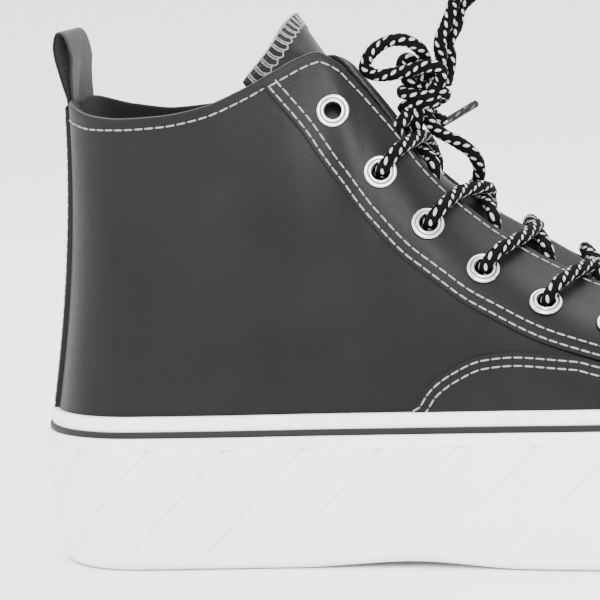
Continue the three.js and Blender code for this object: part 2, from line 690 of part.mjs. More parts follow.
// Pull loop: one band that stands on the collar's rim, follows its bend there and flattens out
// towards its top
function loopSections() {
  const path = new THREE.CatmullRomCurve3(
    loopPath.map(({ out, up }) => new THREE.Vector3(-out * loopHeight, 0, up * loopHeight)),
  );
  const across = steps(-0.5, 0.5, 4).map((w) => {
    const p = skin((w * loopWidth) / (0.93 * sideLength.outer), 1);
    return { y: w * loopWidth, rimX: p.x, rimZ: p.z };
  });
  const middle = across[2];
  return steps(0, 1, 18).map((t) => {
    const p = path.getPointAt(t);
    const along = path.getTangentAt(t);
    const flat = Math.min(1, p.z / loopHeight / 0.75);
    const place = ({ y, rimX, rimZ }, thick) => new THREE.Vector3(
      THREE.MathUtils.lerp(rimX, middle.rimX, flat) + p.x + thick * along.z,
      y,
      THREE.MathUtils.lerp(rimZ, middle.rimZ, flat) + p.z + seatOnCurve - thick * along.x,
    );
    return [
      ...across.map((a) => place(a, -loopBand / 2)),
      ...across.map((a) => place(a, loopBand / 2)).reverse(),
    ];
  });
}
add('pull_loop', loft(loopSections()), leather);

// Eyelets: a rolled flange on the eyestay and a barrel through both layers
const flangeSeat = overlayHigh + seat;
const holeRadius = eyeletHole / 2;
const flangeRadius = eyeletFlange / 2;
const eyeletProfile = [
  [holeRadius, -flangeSeat - wall],
  [barrelRadius, -flangeSeat - wall],
  [barrelRadius, 0],
  [flangeRadius, 0],
  [flangeRadius - 0.4 * eyeletFlangeThickness, eyeletFlangeThickness],
  [holeRadius + 0.4 * eyeletFlangeThickness, eyeletFlangeThickness],
  [holeRadius, -flangeSeat - wall],
].map(([r, y]) => new THREE.Vector2(r, y));
const eyeletShape = new THREE.LatheGeometry(eyeletProfile, eyeletSides);
for (const eyelet of eyelets) {
  const at = eyelet.at.clone().addScaledVector(eyelet.axis, flangeSeat);
  add(eyelet.name, solid(aim(eyeletShape, eyelet.axis, at)), metal);
}

// Tongue: sections bend from wing to wing under the eyestay, over the middle of the throat
const spineUp = (round) => {
  const run = skin(-round + 0.01, 1).sub(skin(-round - 0.01, 1)).setY(0).normalize();
  return run.x < 0 ? new THREE.Vector3(run.z, 0, -run.x) : new THREE.Vector3(-run.z, 0, run.x);
};
const tongueReach = wall + seatOnCurve;

function tongueSection(row, deep) {
  const side = (sign, share) => {
    const round = THREE.MathUtils.lerp(row.round, row.wingRound, share);
    const down = THREE.MathUtils.lerp(row.down, row.wingDown, share ** 0.8) * eyestayDepth;
    const u = 1 - ribShare(sign * round, down);
    const thin = 1 - 0.45 * share;
    return offSkin(sign * round, u, -tongueReach - (row.sink + deep * thin) * tongueThickness);
  };
  const middle = skin(-row.round, 1 - ribShare(-row.round, row.down * eyestayDepth)).setY(0)
    .addScaledVector(spineUp(row.round), (row.crown - deep) * tongueThickness);
  return [side(-1, 1), side(-1, 0.5), side(-1, 0), middle, side(1, 0), side(1, 0.5), side(1, 1)];
}

function tongueTopSection(deep) {
  const corner = new THREE.Vector3(edgeX(0.41) * soleLength, 0, soleHeight + edgeUp(0.41));
  const half = tongueWidth / 2;
  const point = (row, sign) => {
    const thin = deep * tongueThickness * (1 - 0.45 * row.across);
    const turn = row.across * Math.PI * 0.45;
    return new THREE.Vector3(
      corner.x - row.back * tongueRise - thin * 0.82 * Math.cos(turn),
      sign * (row.across * half - thin * Math.sin(turn)),
      corner.z + row.up * tongueRise - thin * 0.57 * Math.cos(turn),
    );
  };
  const outer = tongueTop.slice(1).reverse().map((row) => point(row, -1));
  return [...outer, point(tongueTop[0], 1), ...tongueTop.slice(1).map((row) => point(row, 1))];
}

const smooth = (points, count) => new THREE.CatmullRomCurve3(points).getPoints(count);
const between = (a, b, t) => a.map((p, i) => p.clone().lerp(b[i], t));
const tongueFace = (deep) => {
  const seated = tongueSections.map((row) => tongueSection(row, deep));
  const top = tongueTopSection(deep);
  const free = [0.5, 1].map((t) => between(seated[seated.length - 1], top, t));
  return [...seated, ...free].map((section) => smooth(section, 12));
};
const tongueFront = tongueFace(0);
const tongueBack = tongueFace(1);
add('tongue', loft(tongueFront.map((section, i) => [...section, ...tongueBack[i].slice().reverse()])), leather);

// Lace: from each eyelet a strand goes over the throat's edge and the tongue's ridge and ends at
// the opposite edge, a little before the next row's strand
const laceRadius = laceDiameter / 2;
function tube(points, count, diameter = laceDiameter) {
  const round = steps(0, 2 * Math.PI, laceSides).slice(1).map((a) => (
    new THREE.Vector2(Math.cos(a), Math.sin(a)).multiplyScalar(diameter / 2)));
  const extrudePath = new THREE.CatmullRomCurve3(points, false, 'centripetal');
  const options = { steps: count, bevelEnabled: false, extrudePath };
  return solid(new THREE.ExtrudeGeometry(new THREE.Shape(round), options));
}
const ridge = new THREE.CatmullRomCurve3(tongueFront.map((section) => section[6]));
const ridgeLine = steps(0, 1, 200).map((t) => ({ at: ridge.getPointAt(t), along: ridge.getTangentAt(t) }));
const nearest = (line, to) => line.reduce((best, p) => (
  p.at.distanceTo(to) < best.at.distanceTo(to) ? p : best));
const throatLine = Object.fromEntries(sides.map(({ sign }) => [sign, steps(0.38, 0.86, 240).map((f) => {
  const at = skin(sign * f, 1);
  return { at, out: outward(sign * f, 1), up: at.clone().sub(skin(sign * f, 0.97)).normalize() };
})]));
const eyeletAt = (sign, row) => eyelets.find((e) => e.sign === sign && e.row === row);
const throatAt = (sign, row) => nearest(throatLine[sign], eyeletAt(sign, row).at);
const ridgeAt = (row) => nearest(ridgeLine, throatAt(-1, row).at.clone().setY(0));

// Start of a strand: over its eyelet, over the throat's edge and up to the ridge
function strandStart(sign, row) {
  const { at, axis } = eyeletAt(sign, row);
  const edge = throatAt(sign, row);
  const over = overlayHigh + laceRadius + laceClearance;
  const lying = flangeSeat + eyeletFlangeThickness + laceRadius + laceClearance;
  const across = edge.at.clone().sub(at).projectOnPlane(axis).normalize();
  return [
    at.clone().addScaledVector(axis, lying + 0.4),
    at.clone().addScaledVector(axis, lying + 0.2).addScaledVector(across, eyeletFlange / 2 + 0.6),
    edge.at.clone().addScaledVector(edge.out, over + 0.6),
    edge.at.clone().addScaledVector(edge.out, over - 0.6).addScaledVector(edge.up, laceDiameter),
  ];
}

function ridgeTop(row) {
  const { at, along } = ridgeAt(row);
  const up = new THREE.Vector3(-along.z, 0, along.x);
  if (up.z < 0) up.negate();
  return at.clone().addScaledVector(up, laceOverRidge);
}

function strandEnd(sign, row) {
  const target = throatAt(sign, row + 1).at;
  const line = throatLine[sign];
  const edge = line.reduce((best, p) => {
    const miss = (e) => Math.abs(e.at.distanceTo(target) - laceDive) + (e.at.x > target.x ? laceDive : 0);
    return miss(p) < miss(best) ? p : best;
  });
  const rise = laceRadius + laceClearance;
  return [
    edge.at.clone().addScaledVector(edge.up, rise + laceRadius).addScaledVector(edge.out, 1.3 * laceRadius),
    edge.at.clone().addScaledVector(edge.up, 1.5 * rise).addScaledVector(edge.out, 3 * laceClearance),
  ];
}
for (let row = 1; row < eyeletsPerSide - 1; row += 1) {
  const pair = [-1, 1].map((sign) => tube(
    [...strandStart(sign, row), ridgeTop(row), ...strandEnd(-sign, row)],
    9,
  ));
  add(`lace_crossing_${row}`, pair[0].add(pair[1]), laceCord);
}
const lastRow = eyeletsPerSide - 1;
add('lace_bar', tube(
  [...strandStart(-1, lastRow), ridgeTop(lastRow), ...strandStart(1, lastRow).reverse()],
  12,
), laceCord);

const vector = ({ x, y, z }) => new THREE.Vector3(x, y, z);
const knotMiddle = ridgeAt(1).at.clone().addScaledVector(vector(knotPlace), laceDiameter);
const fromKnot = (rows) => rows.map((row) => vector(row).multiplyScalar(laceDiameter).add(knotMiddle));
const knotBall = new THREE.SphereGeometry(laceDiameter, 10, 6)
  .scale(knotHalf.x, knotHalf.y, knotHalf.z).translate(...knotMiddle.toArray());
add('lace_knot', [knotLegOuter, knotLegInner, knotTail].reduce(
  (body, rows) => body.add(tube(fromKnot(rows), 5)),
  solid(knotBall),
), laceCord);
add('lace_loop_rear', tube(fromKnot(rearLoop), 22), laceCord);
add('lace_loop_upright', tube(fromKnot(uprightLoop), 22), laceCord);
add('lace_end_hanging', tube(fromKnot(hangingEnd), 10), laceCord);
add('aglet_short', tube(fromKnot(shortAglet), 2, agletDiameter), agletFilm);
add('aglet_hanging', tube(fromKnot(hangingAglet), 2, agletDiameter), agletFilm);

export default sneaker;
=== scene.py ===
"""High-top lace-up sneaker, right foot, on a white platform sole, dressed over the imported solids.

Blender works in metres, +X to the toe, -Y to the outer side of the foot, +Z up. Shapes are worked
out in millimetres, as functions of two parameters on a grid or as profiles carried along a path.
"""

import bmesh
import bpy
import numpy as np
from mathutils import Matrix, Vector
from mathutils.bvhtree import BVHTree
from numpy.linalg import norm


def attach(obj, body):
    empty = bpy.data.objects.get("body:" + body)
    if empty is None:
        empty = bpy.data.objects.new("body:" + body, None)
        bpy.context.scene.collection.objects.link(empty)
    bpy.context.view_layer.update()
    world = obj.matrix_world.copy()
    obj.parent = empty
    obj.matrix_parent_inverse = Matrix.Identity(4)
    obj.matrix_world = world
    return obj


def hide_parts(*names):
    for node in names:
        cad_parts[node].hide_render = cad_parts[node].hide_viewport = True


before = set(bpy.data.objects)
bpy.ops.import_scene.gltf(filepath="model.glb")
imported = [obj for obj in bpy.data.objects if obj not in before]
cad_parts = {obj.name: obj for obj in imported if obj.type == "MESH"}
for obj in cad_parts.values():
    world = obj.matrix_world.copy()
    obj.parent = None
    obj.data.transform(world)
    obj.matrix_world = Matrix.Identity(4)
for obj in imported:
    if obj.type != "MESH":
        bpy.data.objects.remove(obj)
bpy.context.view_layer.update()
MM = 0.001  # metres in a millimetre

# Driving dimensions, in millimetres, as the solids have them
SOLE_LENGTH = 278.0
BALL_BREADTH = 102.0
SOLE_HEIGHT = 49.6
HEEL_HEIGHT = 96.2
INSTEP_HEIGHT = 107.7
TOE_HEIGHT = 25.5
WALL = 2.0
FOXING_BAND = 4.9
FOXING_SETBACK = 2.3
FOXING_THICKNESS = 2.0
STRIPE_BAND = 1.8
STRIPE_SETBACK = 1.5
LIP_BAND = 3.7
EDGE_ROUND = 8.0
FACET_PITCH = 25.0
FACET_DEPTH = 1.3
FACET_START = 2.7
FACET_CREST = 0.39
GROOVE_DEPTH = 0.8
GROOVE_WIDTH = 0.5
SIDE_TAPER = 2.9
WALL_FOOT = 3.4
FOOTBED = FOXING_BAND + STRIPE_BAND
SIDE_TOP = FOOTBED + LIP_BAND
BAND_FOOT = FOXING_SETBACK + FOXING_THICKNESS
UPPER_INSET = BAND_FOOT + 0.3
INSOLE_INSET = UPPER_INSET + WALL + 0.1
INSOLE_DOWN = 2.4
SPINE = (-98.0, 86.0)  # ends of the middle line that underside and footbed spread from
OVERLAY = 1.38
THROAT_INSET = 0.15
EYESTAY_DEPTH = 53.0
EYESTAY_EDGE = 1.5  # below the line in the table
VAMP_GAP = 0.6
VAMP_DEPTH = 17.3
STRIP_WIDTH = 32.0
HANDLE = 0.33
EYELET_PITCH = 22.0
EYELET_START = 0.42
EYELET_STEPS = [-0.06, 1, 2, 3, 4, 5]  # in pitches
HOLE_RADIUS = 3.6
LACE = 4.0
STITCH_PITCH = 3.5
BRAID_ROWS, BRAID_PITCH, BRAID_TWIST, BRAID_RELIEF, DOT_LEAN = 4, 2.7, 0.12, 0.26, 0.45

# Tables: "along" is a share of the sole's length, "round" goes from 0 at the heel to 1 at the toe
# along either side, "height" is the size that z and drop are shares of, "rise" is in degrees, and
# the rest are shares of the sizes above
BREADTHS = {
    "along": [0.0, 0.165, 0.3, 0.45, 0.57, 0.66, 0.72, 0.84, 1.0],
    "outer": [0.352, 0.364, 0.366, 0.398, 0.451, 0.488, 0.5, 0.47, 0.43],
    "inner": [0.358, 0.366, 0.352, 0.362, 0.425, 0.482, 0.5, 0.492, 0.46],
}
HEEL_CAP, TOE_CAP = 0.13, 0.27
HEIGHTS = {
    "along": [0.0, 0.06, 0.31, 0.45, 0.58, 0.78, 1.0],
    "lift": [0.02, 0.0, 0.0, 0.04, 0.0, 0.0, 0.15],
    "rim": [1.0, 0.994, 0.98, 0.984, 0.996, 1.01, 1.06],
}
EDGE = {
    "round": [0, 0.055, 0.11, 0.165, 0.22, 0.27, 0.32, 0.36, 0.395, 0.41, 0.425, 0.45, 0.495,
              0.54, 0.585, 0.63, 0.675, 0.725, 0.78, 0.86, 0.93, 1.0],
    "x": [-0.445, -0.434, -0.399, -0.356, -0.31, -0.264, -0.217, -0.18, -0.15, -0.136, -0.122,
          -0.1036, -0.0712, -0.0377, 0.0059, 0.0531, 0.1052, 0.1617, 0.197, 0.21, 0.2145, 0.2155],
    "y": [0, 0.134, 0.24, 0.291, 0.304, 0.3, 0.285, 0.262, 0.222, 0.202, 0.187, 0.166, 0.151,
          0.14, 0.135, 0.13, 0.128, 0.12, 0.1, 0.062, 0.03, 0],
    "z": [1, 0.985, 0.951, 0.94, 0.944, 0.964, 0.905, 0.952, 0.989, 0.998, 0.98, 0.926, 0.811,
          0.679, 0.5555, 0.456, 0.372, 0.2985, 1.08, 1.02, 1, 1],
    "height": [HEEL_HEIGHT] * 6 + [INSTEP_HEIGHT] * 12 + [TOE_HEIGHT] * 4,
    "rise": [90, 90, 90, 89, 88, 87, 86, 84, 80, 77, 72, 66, 60, 54, 48, 43, 39, 35, 30, 23, 19,
             18],
    "lean": [0.2, 0.19, 0.13, 0.05, 0.02] + [0] * 10 + [-0.02, -0.03, -0.04] + [-0.05] * 4,
    "back": [0] * 6 + [0.005, 0.011, 0.016, 0.018, 0.019, 0.02, 0.02, 0.019, 0.014, 0.008, 0.005,
                       0.003] + [0] * 4,
    "drop": [0, 0, 0.008, 0.019, 0.016, 0.008, 0.002, 0.008, 0.03, 0.037, 0.034, 0.025, 0.015,
             0.01, 0.005] + [0] * 7,
}
EYESTAY = {
    "round": [0.346, 0.38, 0.41, 0.435, 0.475, 0.515, 0.565, 0.62, 0.69, 0.74, 0.8, 0.88, 1.0],
    "down": [0.01, 0.35, 0.71, 0.895, 0.985, 0.985, 0.945, 0.925, 0.88, 0.58, 0.3, 0.17, 0.14],
}
VAMP = {
    "round": [0.462, 0.475, 0.5, 0.535, 0.57, 0.62, 0.69, 0.76, 1.0],
    "up": [0.1, 0.42, 0.72, 0.95, 1.0, 0.93, 0.8, 3.5, 6.0],
}
EYELET_LINE = {
    "round": [0.42, 0.46, 0.51, 0.57, 0.63, 0.7],
    "down": [0.33, 0.53, 0.613, 0.61, 0.607, 0.575],
}
STRIP = {"up": [0.0, 0.45, 1.0], "half": [0.42, 0.5, 0.42]}


# Lines and surfaces

def column(table, key, value, times=None):
    """Smooth line through a table's column, which never overshoots: the slope at each row is the
    harmonic mean of the slopes beside it, or 0 at a turn."""
    x = np.array(table[key], float)
    y = np.array(table[value], float) * (1 if times is None else np.array(table[times], float))
    d = np.diff(y) / np.diff(x)
    a, b = d[:-1], d[1:]
    mean = 2 * a * b / np.where(np.abs(a + b) < 1e-12, 1, a + b)
    t = np.concatenate([d[:1], np.where(a * b <= 0, 0, mean), d[-1:]])

    def read(at):
        at = np.clip(at, x[0], x[-1])
        i = np.clip(np.searchsorted(x, at, side="right") - 1, 0, len(x) - 2)
        h = x[i + 1] - x[i]
        s = (at - x[i]) / h
        r = 1 - s
        return (r * r * (1 + 2 * s) * y[i] + s * s * (1 + 2 * r) * y[i + 1]
                + h * s * r * (r * t[i] - s * t[i + 1]))

    return read


def spline(points, count, closed=False):
    """Centripetal Catmull-Rom line through the points, with count samples a piece."""
    p = np.asarray(points, float)
    if closed:
        p = np.concatenate([p[-1:], p, p[:2]])
    else:
        p = np.concatenate([2 * p[:1] - p[1:2], p, 2 * p[-1:] - p[-2:-1]])
    d = np.maximum(norm(np.diff(p, axis=0), axis=1) ** 0.5, 1e-6)[:, None]
    p0, p1, p2, p3 = p[:-3], p[1:-2], p[2:-1], p[3:]
    a, b, c = d[:-2], d[1:-1], d[2:]
    t1 = ((p1 - p0) / a - (p2 - p0) / (a + b) + (p2 - p1) / b) * b
    t2 = ((p2 - p1) / b - (p3 - p1) / (b + c) + (p3 - p2) / c) * b
    s = (np.arange(count) / count)[:, None, None]
    out = (p1 + t1 * s + (-3 * p1 + 3 * p2 - 2 * t1 - t2) * s**2
           + (2 * p1 - 2 * p2 + t1 + t2) * s**3)
    line = out.transpose(1, 0, 2).reshape(-1, 3)
    return line if closed else np.concatenate([line, p2[-1:]])


def unit(v):
    return v / np.maximum(norm(v, axis=-1, keepdims=True), 1e-12)


def heading(line):
    return unit(np.gradient(line, axis=0))


def walked(line):
    """Length walked along a line, or along each of several, at its points."""
    steps = norm(np.diff(line, axis=-2), axis=-1)
    return np.concatenate([0 * steps[..., :1], np.cumsum(steps, axis=-1)], -1)


def at_walk(at, walk, rows):
    """Rows of three values read off between points at walked lengths."""
    return np.stack([np.interp(at, walk, rows[:, k]) for k in range(3)], 1)


def side_view(x, z):
    """Points of a line in the middle plane."""
    return np.stack([x, 0 * x, z], 1)


def resample(line, spacing):
    """Points at equal steps of about the spacing along a line."""
    walk = walked(line)
    n = max(2, int(round(walk[-1] / spacing)) + 1)
    return at_walk(np.linspace(0, walk[-1], n), walk, line)


def side_points(side):
    """Half outline, rounded by a quarter circle at the heel and a squarer one at the toe."""
    turn = lambda n: np.linspace(0, np.pi / 2, n + 1)
    along = np.concatenate([
        HEEL_CAP * (1 - np.cos(turn(9))),
        np.linspace(HEEL_CAP, 1 - TOE_CAP, 12)[1:-1],
        1 - TOE_CAP + TOE_CAP * np.sin(turn(12)),
    ])
    heel = np.maximum(0, 1 - along / HEEL_CAP)
    toe = np.maximum(0, (along - 1 + TOE_CAP) / TOE_CAP)
    half = column(BREADTHS, "along", side)(along) * BALL_BREADTH
    half = half * np.sqrt(np.maximum(0, 1 - heel**2)) * np.sqrt(np.maximum(0, 1 - toe**2.3))
    y = half * (-1 if side == "outer" else 1)
    return np.stack([(along - 0.5) * SOLE_LENGTH, y, 0 * half], 1)


outer_side = side_points("outer")
inner_side = side_points("inner")[::-1]
sole_line = spline(np.concatenate([outer_side, inner_side[1:-1]]), 40, closed=True)
sole_line = np.concatenate([sole_line, sole_line[:1]])
sole_walk = walked(sole_line)
GIRTH = sole_walk[-1]
TOE_SHARE = sole_walk[40 * (len(outer_side) - 1)] / GIRTH
SIDE = {"outer": TOE_SHARE * GIRTH, "inner": (1 - TOE_SHARE) * GIRTH}
sole_dir = unit(np.roll(sole_line[:-1], -1, 0) - np.roll(sole_line[:-1], 1, 0))
sole_dir = np.concatenate([sole_dir, sole_dir[:1]])


def fold(q):
    """Brings a place past the toe back to the other side's end of the range."""
    return np.where(q > 1, q - 2, np.where(q < -1, q + 2, q))


def outline(q, inset):
    """The sole's outline moved inwards; q goes from -1 at the toe along the outer side to 0 at
    the heel and along the inner side to 1."""
    q = fold(q)
    at = np.where(q <= 0, -q * TOE_SHARE, 1 - q * (1 - TOE_SHARE)) * GIRTH
    x, y, tx, ty = [np.interp(at, sole_walk, v) for v in (*sole_line.T[:2], *sole_dir.T[:2])]
    return x - ty * inset, y + tx * inset


lift_share, rim_share = column(HEIGHTS, "along", "lift"), column(HEIGHTS, "along", "rim")
ground = lambda x: lift_share(x / SOLE_LENGTH + 0.5) * SOLE_HEIGHT
rim = lambda x: rim_share(x / SOLE_LENGTH + 0.5) * SOLE_HEIGHT
edge = {k: column(EDGE, "round", k) for k in ("x", "y", "rise", "lean", "back")}
edge_up, edge_fall = column(EDGE, "round", "z", "height"), column(EDGE, "round", "drop", "height")
eyestay_down, vamp_up = column(EYESTAY, "round", "down"), column(VAMP, "round", "up")
eyelet_down, strip_half = column(EYELET_LINE, "round", "down"), column(STRIP, "up", "half")


def rib_handles(q):
    """Four control points of the rib at q, from its foot on the foxing's top, where it is
    upright, to the opening's edge, which it meets at the edge's own slope."""
    q = fold(q)
    r = np.abs(q)
    fx, fy = outline(q, UPPER_INSET)
    foot = np.stack([fx, fy, rim(fx)], -1)
    ix, iy = outline(q, UPPER_INSET + 1)
    inner = np.stack([ix - fx, iy - fy, 0 * fx], -1)
    side = (q > 0) * 1.0
    top = np.stack([
        (edge["x"](r) - side * edge["back"](r)) * SOLE_LENGTH,
        np.sign(q) * edge["y"](r) * BALL_BREADTH,
        SOLE_HEIGHT + edge_up(r) - side * edge_fall(r),
    ], -1)
    chord = top - foot
    h = HANDLE * norm(chord, axis=-1, keepdims=True)
    rise = np.radians(edge["rise"](r))[..., None]
    flat = unit(chord * [1, 1, 0])
    start = foot + inner * h * edge["lean"](r)[..., None] + h * [0, 0, 1]
    end = top - flat * h * np.cos(rise) - h * np.sin(rise) * [0, 0, 1]
    return foot, start, end, top


def bezier(c, t):
    t = t[..., None]
    s = 1 - t
    return c[0] * s**3 + 3 * c[1] * s * s * t + 3 * c[2] * s * t * t + c[3] * t**3


TICKS = np.linspace(0, 1, 41)


def rib_walk(q):
    """Walked length along each rib at even ticks of its parameter."""
    c = [p[..., None, :] for p in rib_handles(q)]
    return walked(bezier(c, np.broadcast_to(TICKS, np.shape(q) + TICKS.shape)))


def rib_length(q):
    return rib_walk(np.asarray(q, float))[..., -1]


def skin(q, u):
    """The upper's surface: the rib at q, at the share u of its length; below 0 straight down."""
    q, u = np.broadcast_arrays(np.asarray(q, float), np.asarray(u, float))
    shape, q, u = q.shape, q.ravel(), u.ravel()
    keys, back = np.unique(np.round(q, 7), return_inverse=True)
    walk = rib_walk(keys)
    walk = (walk / walk[:, -1:])[back]
    v = np.clip(u, 0, 1)
    k = np.clip((walk <= v[:, None]).sum(1) - 1, 0, len(TICKS) - 2)
    i = np.arange(len(v))
    t = TICKS[k] + (v - walk[i, k]) / (walk[i, k + 1] - walk[i, k]) * TICKS[1]
    p = bezier([c[back] for c in rib_handles(keys)], t)
    p[:, 2] += np.minimum(u, 0) * FOOTBED
    return p.reshape(shape + (3,))


def outward(q, u):
    """Outward direction of that surface."""
    v = np.clip(u, 0, 1)
    high = np.minimum(v + 0.01, 1)
    low = np.maximum(high - 0.02, 0)
    around = skin(q + 0.004, v) - skin(q - 0.004, v)
    up = np.where((np.asarray(u) <= 0)[..., None], [0, 0, 1.0], skin(q, high) - skin(q, low))
    return unit(np.cross(up, around))


def trough(x, z, x0, z0, angle, length, width, depth):
    """A soft hollow: a bell across its width that fades out along its length."""
    c, s = np.cos(np.radians(angle)), np.sin(np.radians(angle))
    a = (x - x0) * c + (z - z0) * s
    b = -(x - x0) * s + (z - z0) * c
    return -depth * np.exp(-(b / width) ** 2 - (a / length) ** 4)


CREASES = [  # x, z, angle, half length, width, depth
    (-72, 96, 68, 34, 9, 0.9), (-100, 104, 84, 30, 8, 0.7), (-34, 84, 40, 22, 7, 0.6),
    (-112, 70, 80, 16, 6, 0.4), (-58, 72, 12, 30, 8, 0.5), (-86, 124, 8, 22, 6, 0.35),
    (62, 76, 78, 15, 3.2, 0.7), (72, 72, 84, 15, 3.0, 0.8), (82, 69, 88, 14, 3.2, 0.6),
    (-20, 66, 18, 26, 6, 0.4), (18, 62, 25, 20, 5, 0.3),
]


def creases(p):
    return sum(trough(p[..., 0], p[..., 2], *row) for row in CREASES)


def off_skin(q, u, out, above=0.0):
    """The worn skin moved outwards, and past the opening's edge along the rib."""
    q, u, out, above = np.broadcast_arrays(*[np.asarray(v, float) for v in (q, u, out, above)])
    p = skin(q, u)
    p = p + outward(q, u) * (out + creases(p) * np.clip(u * 6, 0, 1))[..., None]
    if np.any(above):
        p = p + unit(skin(q, 1.0) - skin(q, 0.97)) * above[..., None]
    return p


def share(q, mm):
    """A length in millimetres as a share of the rib at q."""
    return mm / rib_length(q)


def eyestay_foot(q):
    """Share of the rib at q where the eyestay's lower edge lies."""
    return 1 - share(q, eyestay_down(np.abs(q)) * EYESTAY_DEPTH + EYESTAY_EDGE)


def vamp_top(q):
    """Share of the rib at q where the vamp's upper edge lies, always below the eyestay."""
    return np.minimum(share(q, vamp_up(np.abs(q)) * VAMP_DEPTH),
                      eyestay_foot(q) - share(q, VAMP_GAP))


def eyelet_places(sign):
    """Eyelets at equal steps along their line below the throat's edge: place and direction."""
    f = np.linspace(EYELET_START - 0.015, 0.8, 161)
    q = sign * f
    u = 1 - share(q, eyelet_down(f) * EYESTAY_DEPTH)
    p = skin(q, u)
    walk = walked(p)
    start = np.interp(EYELET_START, f, walk)
    k = np.searchsorted(walk, start + EYELET_PITCH * np.array(EYELET_STEPS))
    return p[k], outward(q[k], u[k])


# Meshes

def put_object(name, data):
    thing = bpy.data.objects.new(name, data)
    bpy.context.scene.collection.objects.link(thing)
    return thing


def put_mesh(name, points, faces, materials, uv=None, slots=None):
    """Mesh object from points in millimetres and faces of four corners."""
    used, faces_new = np.unique(faces, return_inverse=True)
    faces_new = faces_new.reshape(faces.shape)
    mesh = bpy.data.meshes.new(name)
    mesh.from_pydata((points[used] * MM).tolist(), [], faces_new.tolist())
    if uv is not None:
        layer = mesh.uv_layers.new(name="UVMap")
        layer.data.foreach_set("uv", uv.reshape(-1).astype(np.float32))
    for m in materials:
        mesh.materials.append(m)
    if slots is not None:
        mesh.polygons.foreach_set("material_index", slots.astype(np.int32))
    mesh.polygons.foreach_set("use_smooth", np.ones(len(faces), bool))
    bm = bmesh.new()
    bm.from_mesh(mesh)
    bmesh.ops.remove_doubles(bm, verts=bm.verts, dist=1e-6)
    bmesh.ops.dissolve_degenerate(bm, edges=bm.edges, dist=1e-7)
    bmesh.ops.recalc_face_normals(bm, faces=bm.faces)
    bm.to_mesh(mesh)
    bm.free()
    return put_object(name, mesh)


def grid_faces(rows, cols, wrap_rows=False, wrap_cols=False):
    """Corner numbers of the faces of a grid, closed across its ends where wrapped."""
    r = np.arange(rows if wrap_rows else rows - 1)[:, None]
    c = np.arange(cols if wrap_cols else cols - 1)[None, :]
    r2, c2 = (r + 1) % rows, (c + 1) % cols
    corners = (r * cols + c, r * cols + c2, r2 * cols + c2, r2 * cols + c)
    return np.stack(np.broadcast_arrays(*corners), -1).reshape(-1, 4)


def grid_piece(name, p, materials, wrap_rows=False, wrap_cols=False, keep=None, row_slots=None):
    """Grid of points (rows, columns, 3) as one surface; keep tells which points stay."""
    rows, cols = p.shape[:2]
    f = grid_faces(rows, cols, wrap_rows, wrap_cols)
    if keep is not None:
        f = f[keep.reshape(-1)[f].all(1)]
    slots = None if row_slots is None else np.asarray(row_slots)[f[:, 0] // cols]
    return put_mesh(name, p.reshape(-1, 3), f, materials, slots=slots)


def frames_along(line):
    """Two cross directions at each point of a line, carried along it with the least twist."""
    t = heading(line)
    side = unit(np.cross(t[0], [0.13, 0.21, 0.97]))
    sides = [side]
    for k in range(1, len(t)):
        side = unit(side - t[k] * (side @ t[k]))
        sides.append(side)
    return np.array(sides), np.cross(t, sides)


def braid_relief(turn, run):
    """Height of the braid's dots, 0 to 1, in rows round the cord as its colours have them."""
    rows = turn * BRAID_ROWS + run * BRAID_TWIST
    across = rows - np.floor(rows) - 0.5
    along = np.mod(run / BRAID_PITCH + 0.5 * np.floor(rows), 1.0) - 0.5 + DOT_LEAN * across
    return np.exp(-np.abs(across / 0.22) ** 3 - np.abs(along / 0.36) ** 3)


def tube_arrays(points, radius, sides=24, spacing=0.4, closed=False, relief=0.0):
    """Tube along a smooth line through the points, with rounded ends and the braid's dots raised:
    points, faces, UV (share of a turn, millimetres run) and that line."""
    line = resample(spline(points, 24, closed), spacing)
    if closed:
        line = line[:-1] if norm(line[0] - line[-1]) < spacing / 2 else line
        line = np.concatenate([line, line[:1]])
    s, b = frames_along(line)
    a = np.linspace(0, 2 * np.pi, sides + 1)
    run = walked(line)
    r = np.full(len(line), float(radius))
    if not closed:
        end = np.minimum(run, run[-1] - run)
        r = radius * np.sqrt(np.clip(1 - (1 - np.clip(end / (0.6 * radius), 0, 1)) ** 2, 0.02, 1))
    ring = (np.cos(a)[None, :, None] * s[:, None] + np.sin(a)[None, :, None] * b[:, None])
    wide = r[:, None] + relief * (braid_relief(a[None, :] / (2 * np.pi), run[:, None]) - 0.4)
    p = line[:, None] + ring * wide[..., None]
    f = grid_faces(len(line), sides + 1)
    uv = np.stack(np.broadcast_arrays(a[None, :] / (2 * np.pi), run[:, None]), -1).reshape(-1, 2)
    return p.reshape(-1, 3), f, uv[f], line


def lace(points, closed=False):
    return tube_arrays(points, LACE / 2, closed=closed, relief=BRAID_RELIEF)


def joined(parts):
    """Points and faces of several parts as one array each."""
    base = np.cumsum([0] + [len(part[0]) for part in parts])
    return (np.concatenate([part[0] for part in parts]),
            np.concatenate([part[1] + first for part, first in zip(parts, base)]))


def tubes_piece(name, tubes, material):
    """Several tubes as one mesh."""
    uv = np.concatenate([tube[2] for tube in tubes]).reshape(-1, 2)
    return put_mesh(name, *joined(tubes), [material], uv=uv)


# Materials


def new_material(name, color, roughness, metallic=0.0, coat=0.0, sheen=0.0, shine=0.5):
    """Principled material with its constants on its own sockets."""
    m = bpy.data.materials.new(name)
    m.use_nodes = True
    shader = m.node_tree.nodes["Principled BSDF"]
    for key, value in (("Base Color", (*color, 1)), ("Roughness", roughness),
                       ("Metallic", metallic), ("Coat Weight", coat), ("Coat Roughness", 0.25),
                       ("Specular IOR Level", shine), ("Sheen Weight", sheen)):
        shader.inputs[key].default_value = value
    return m, m.node_tree, shader


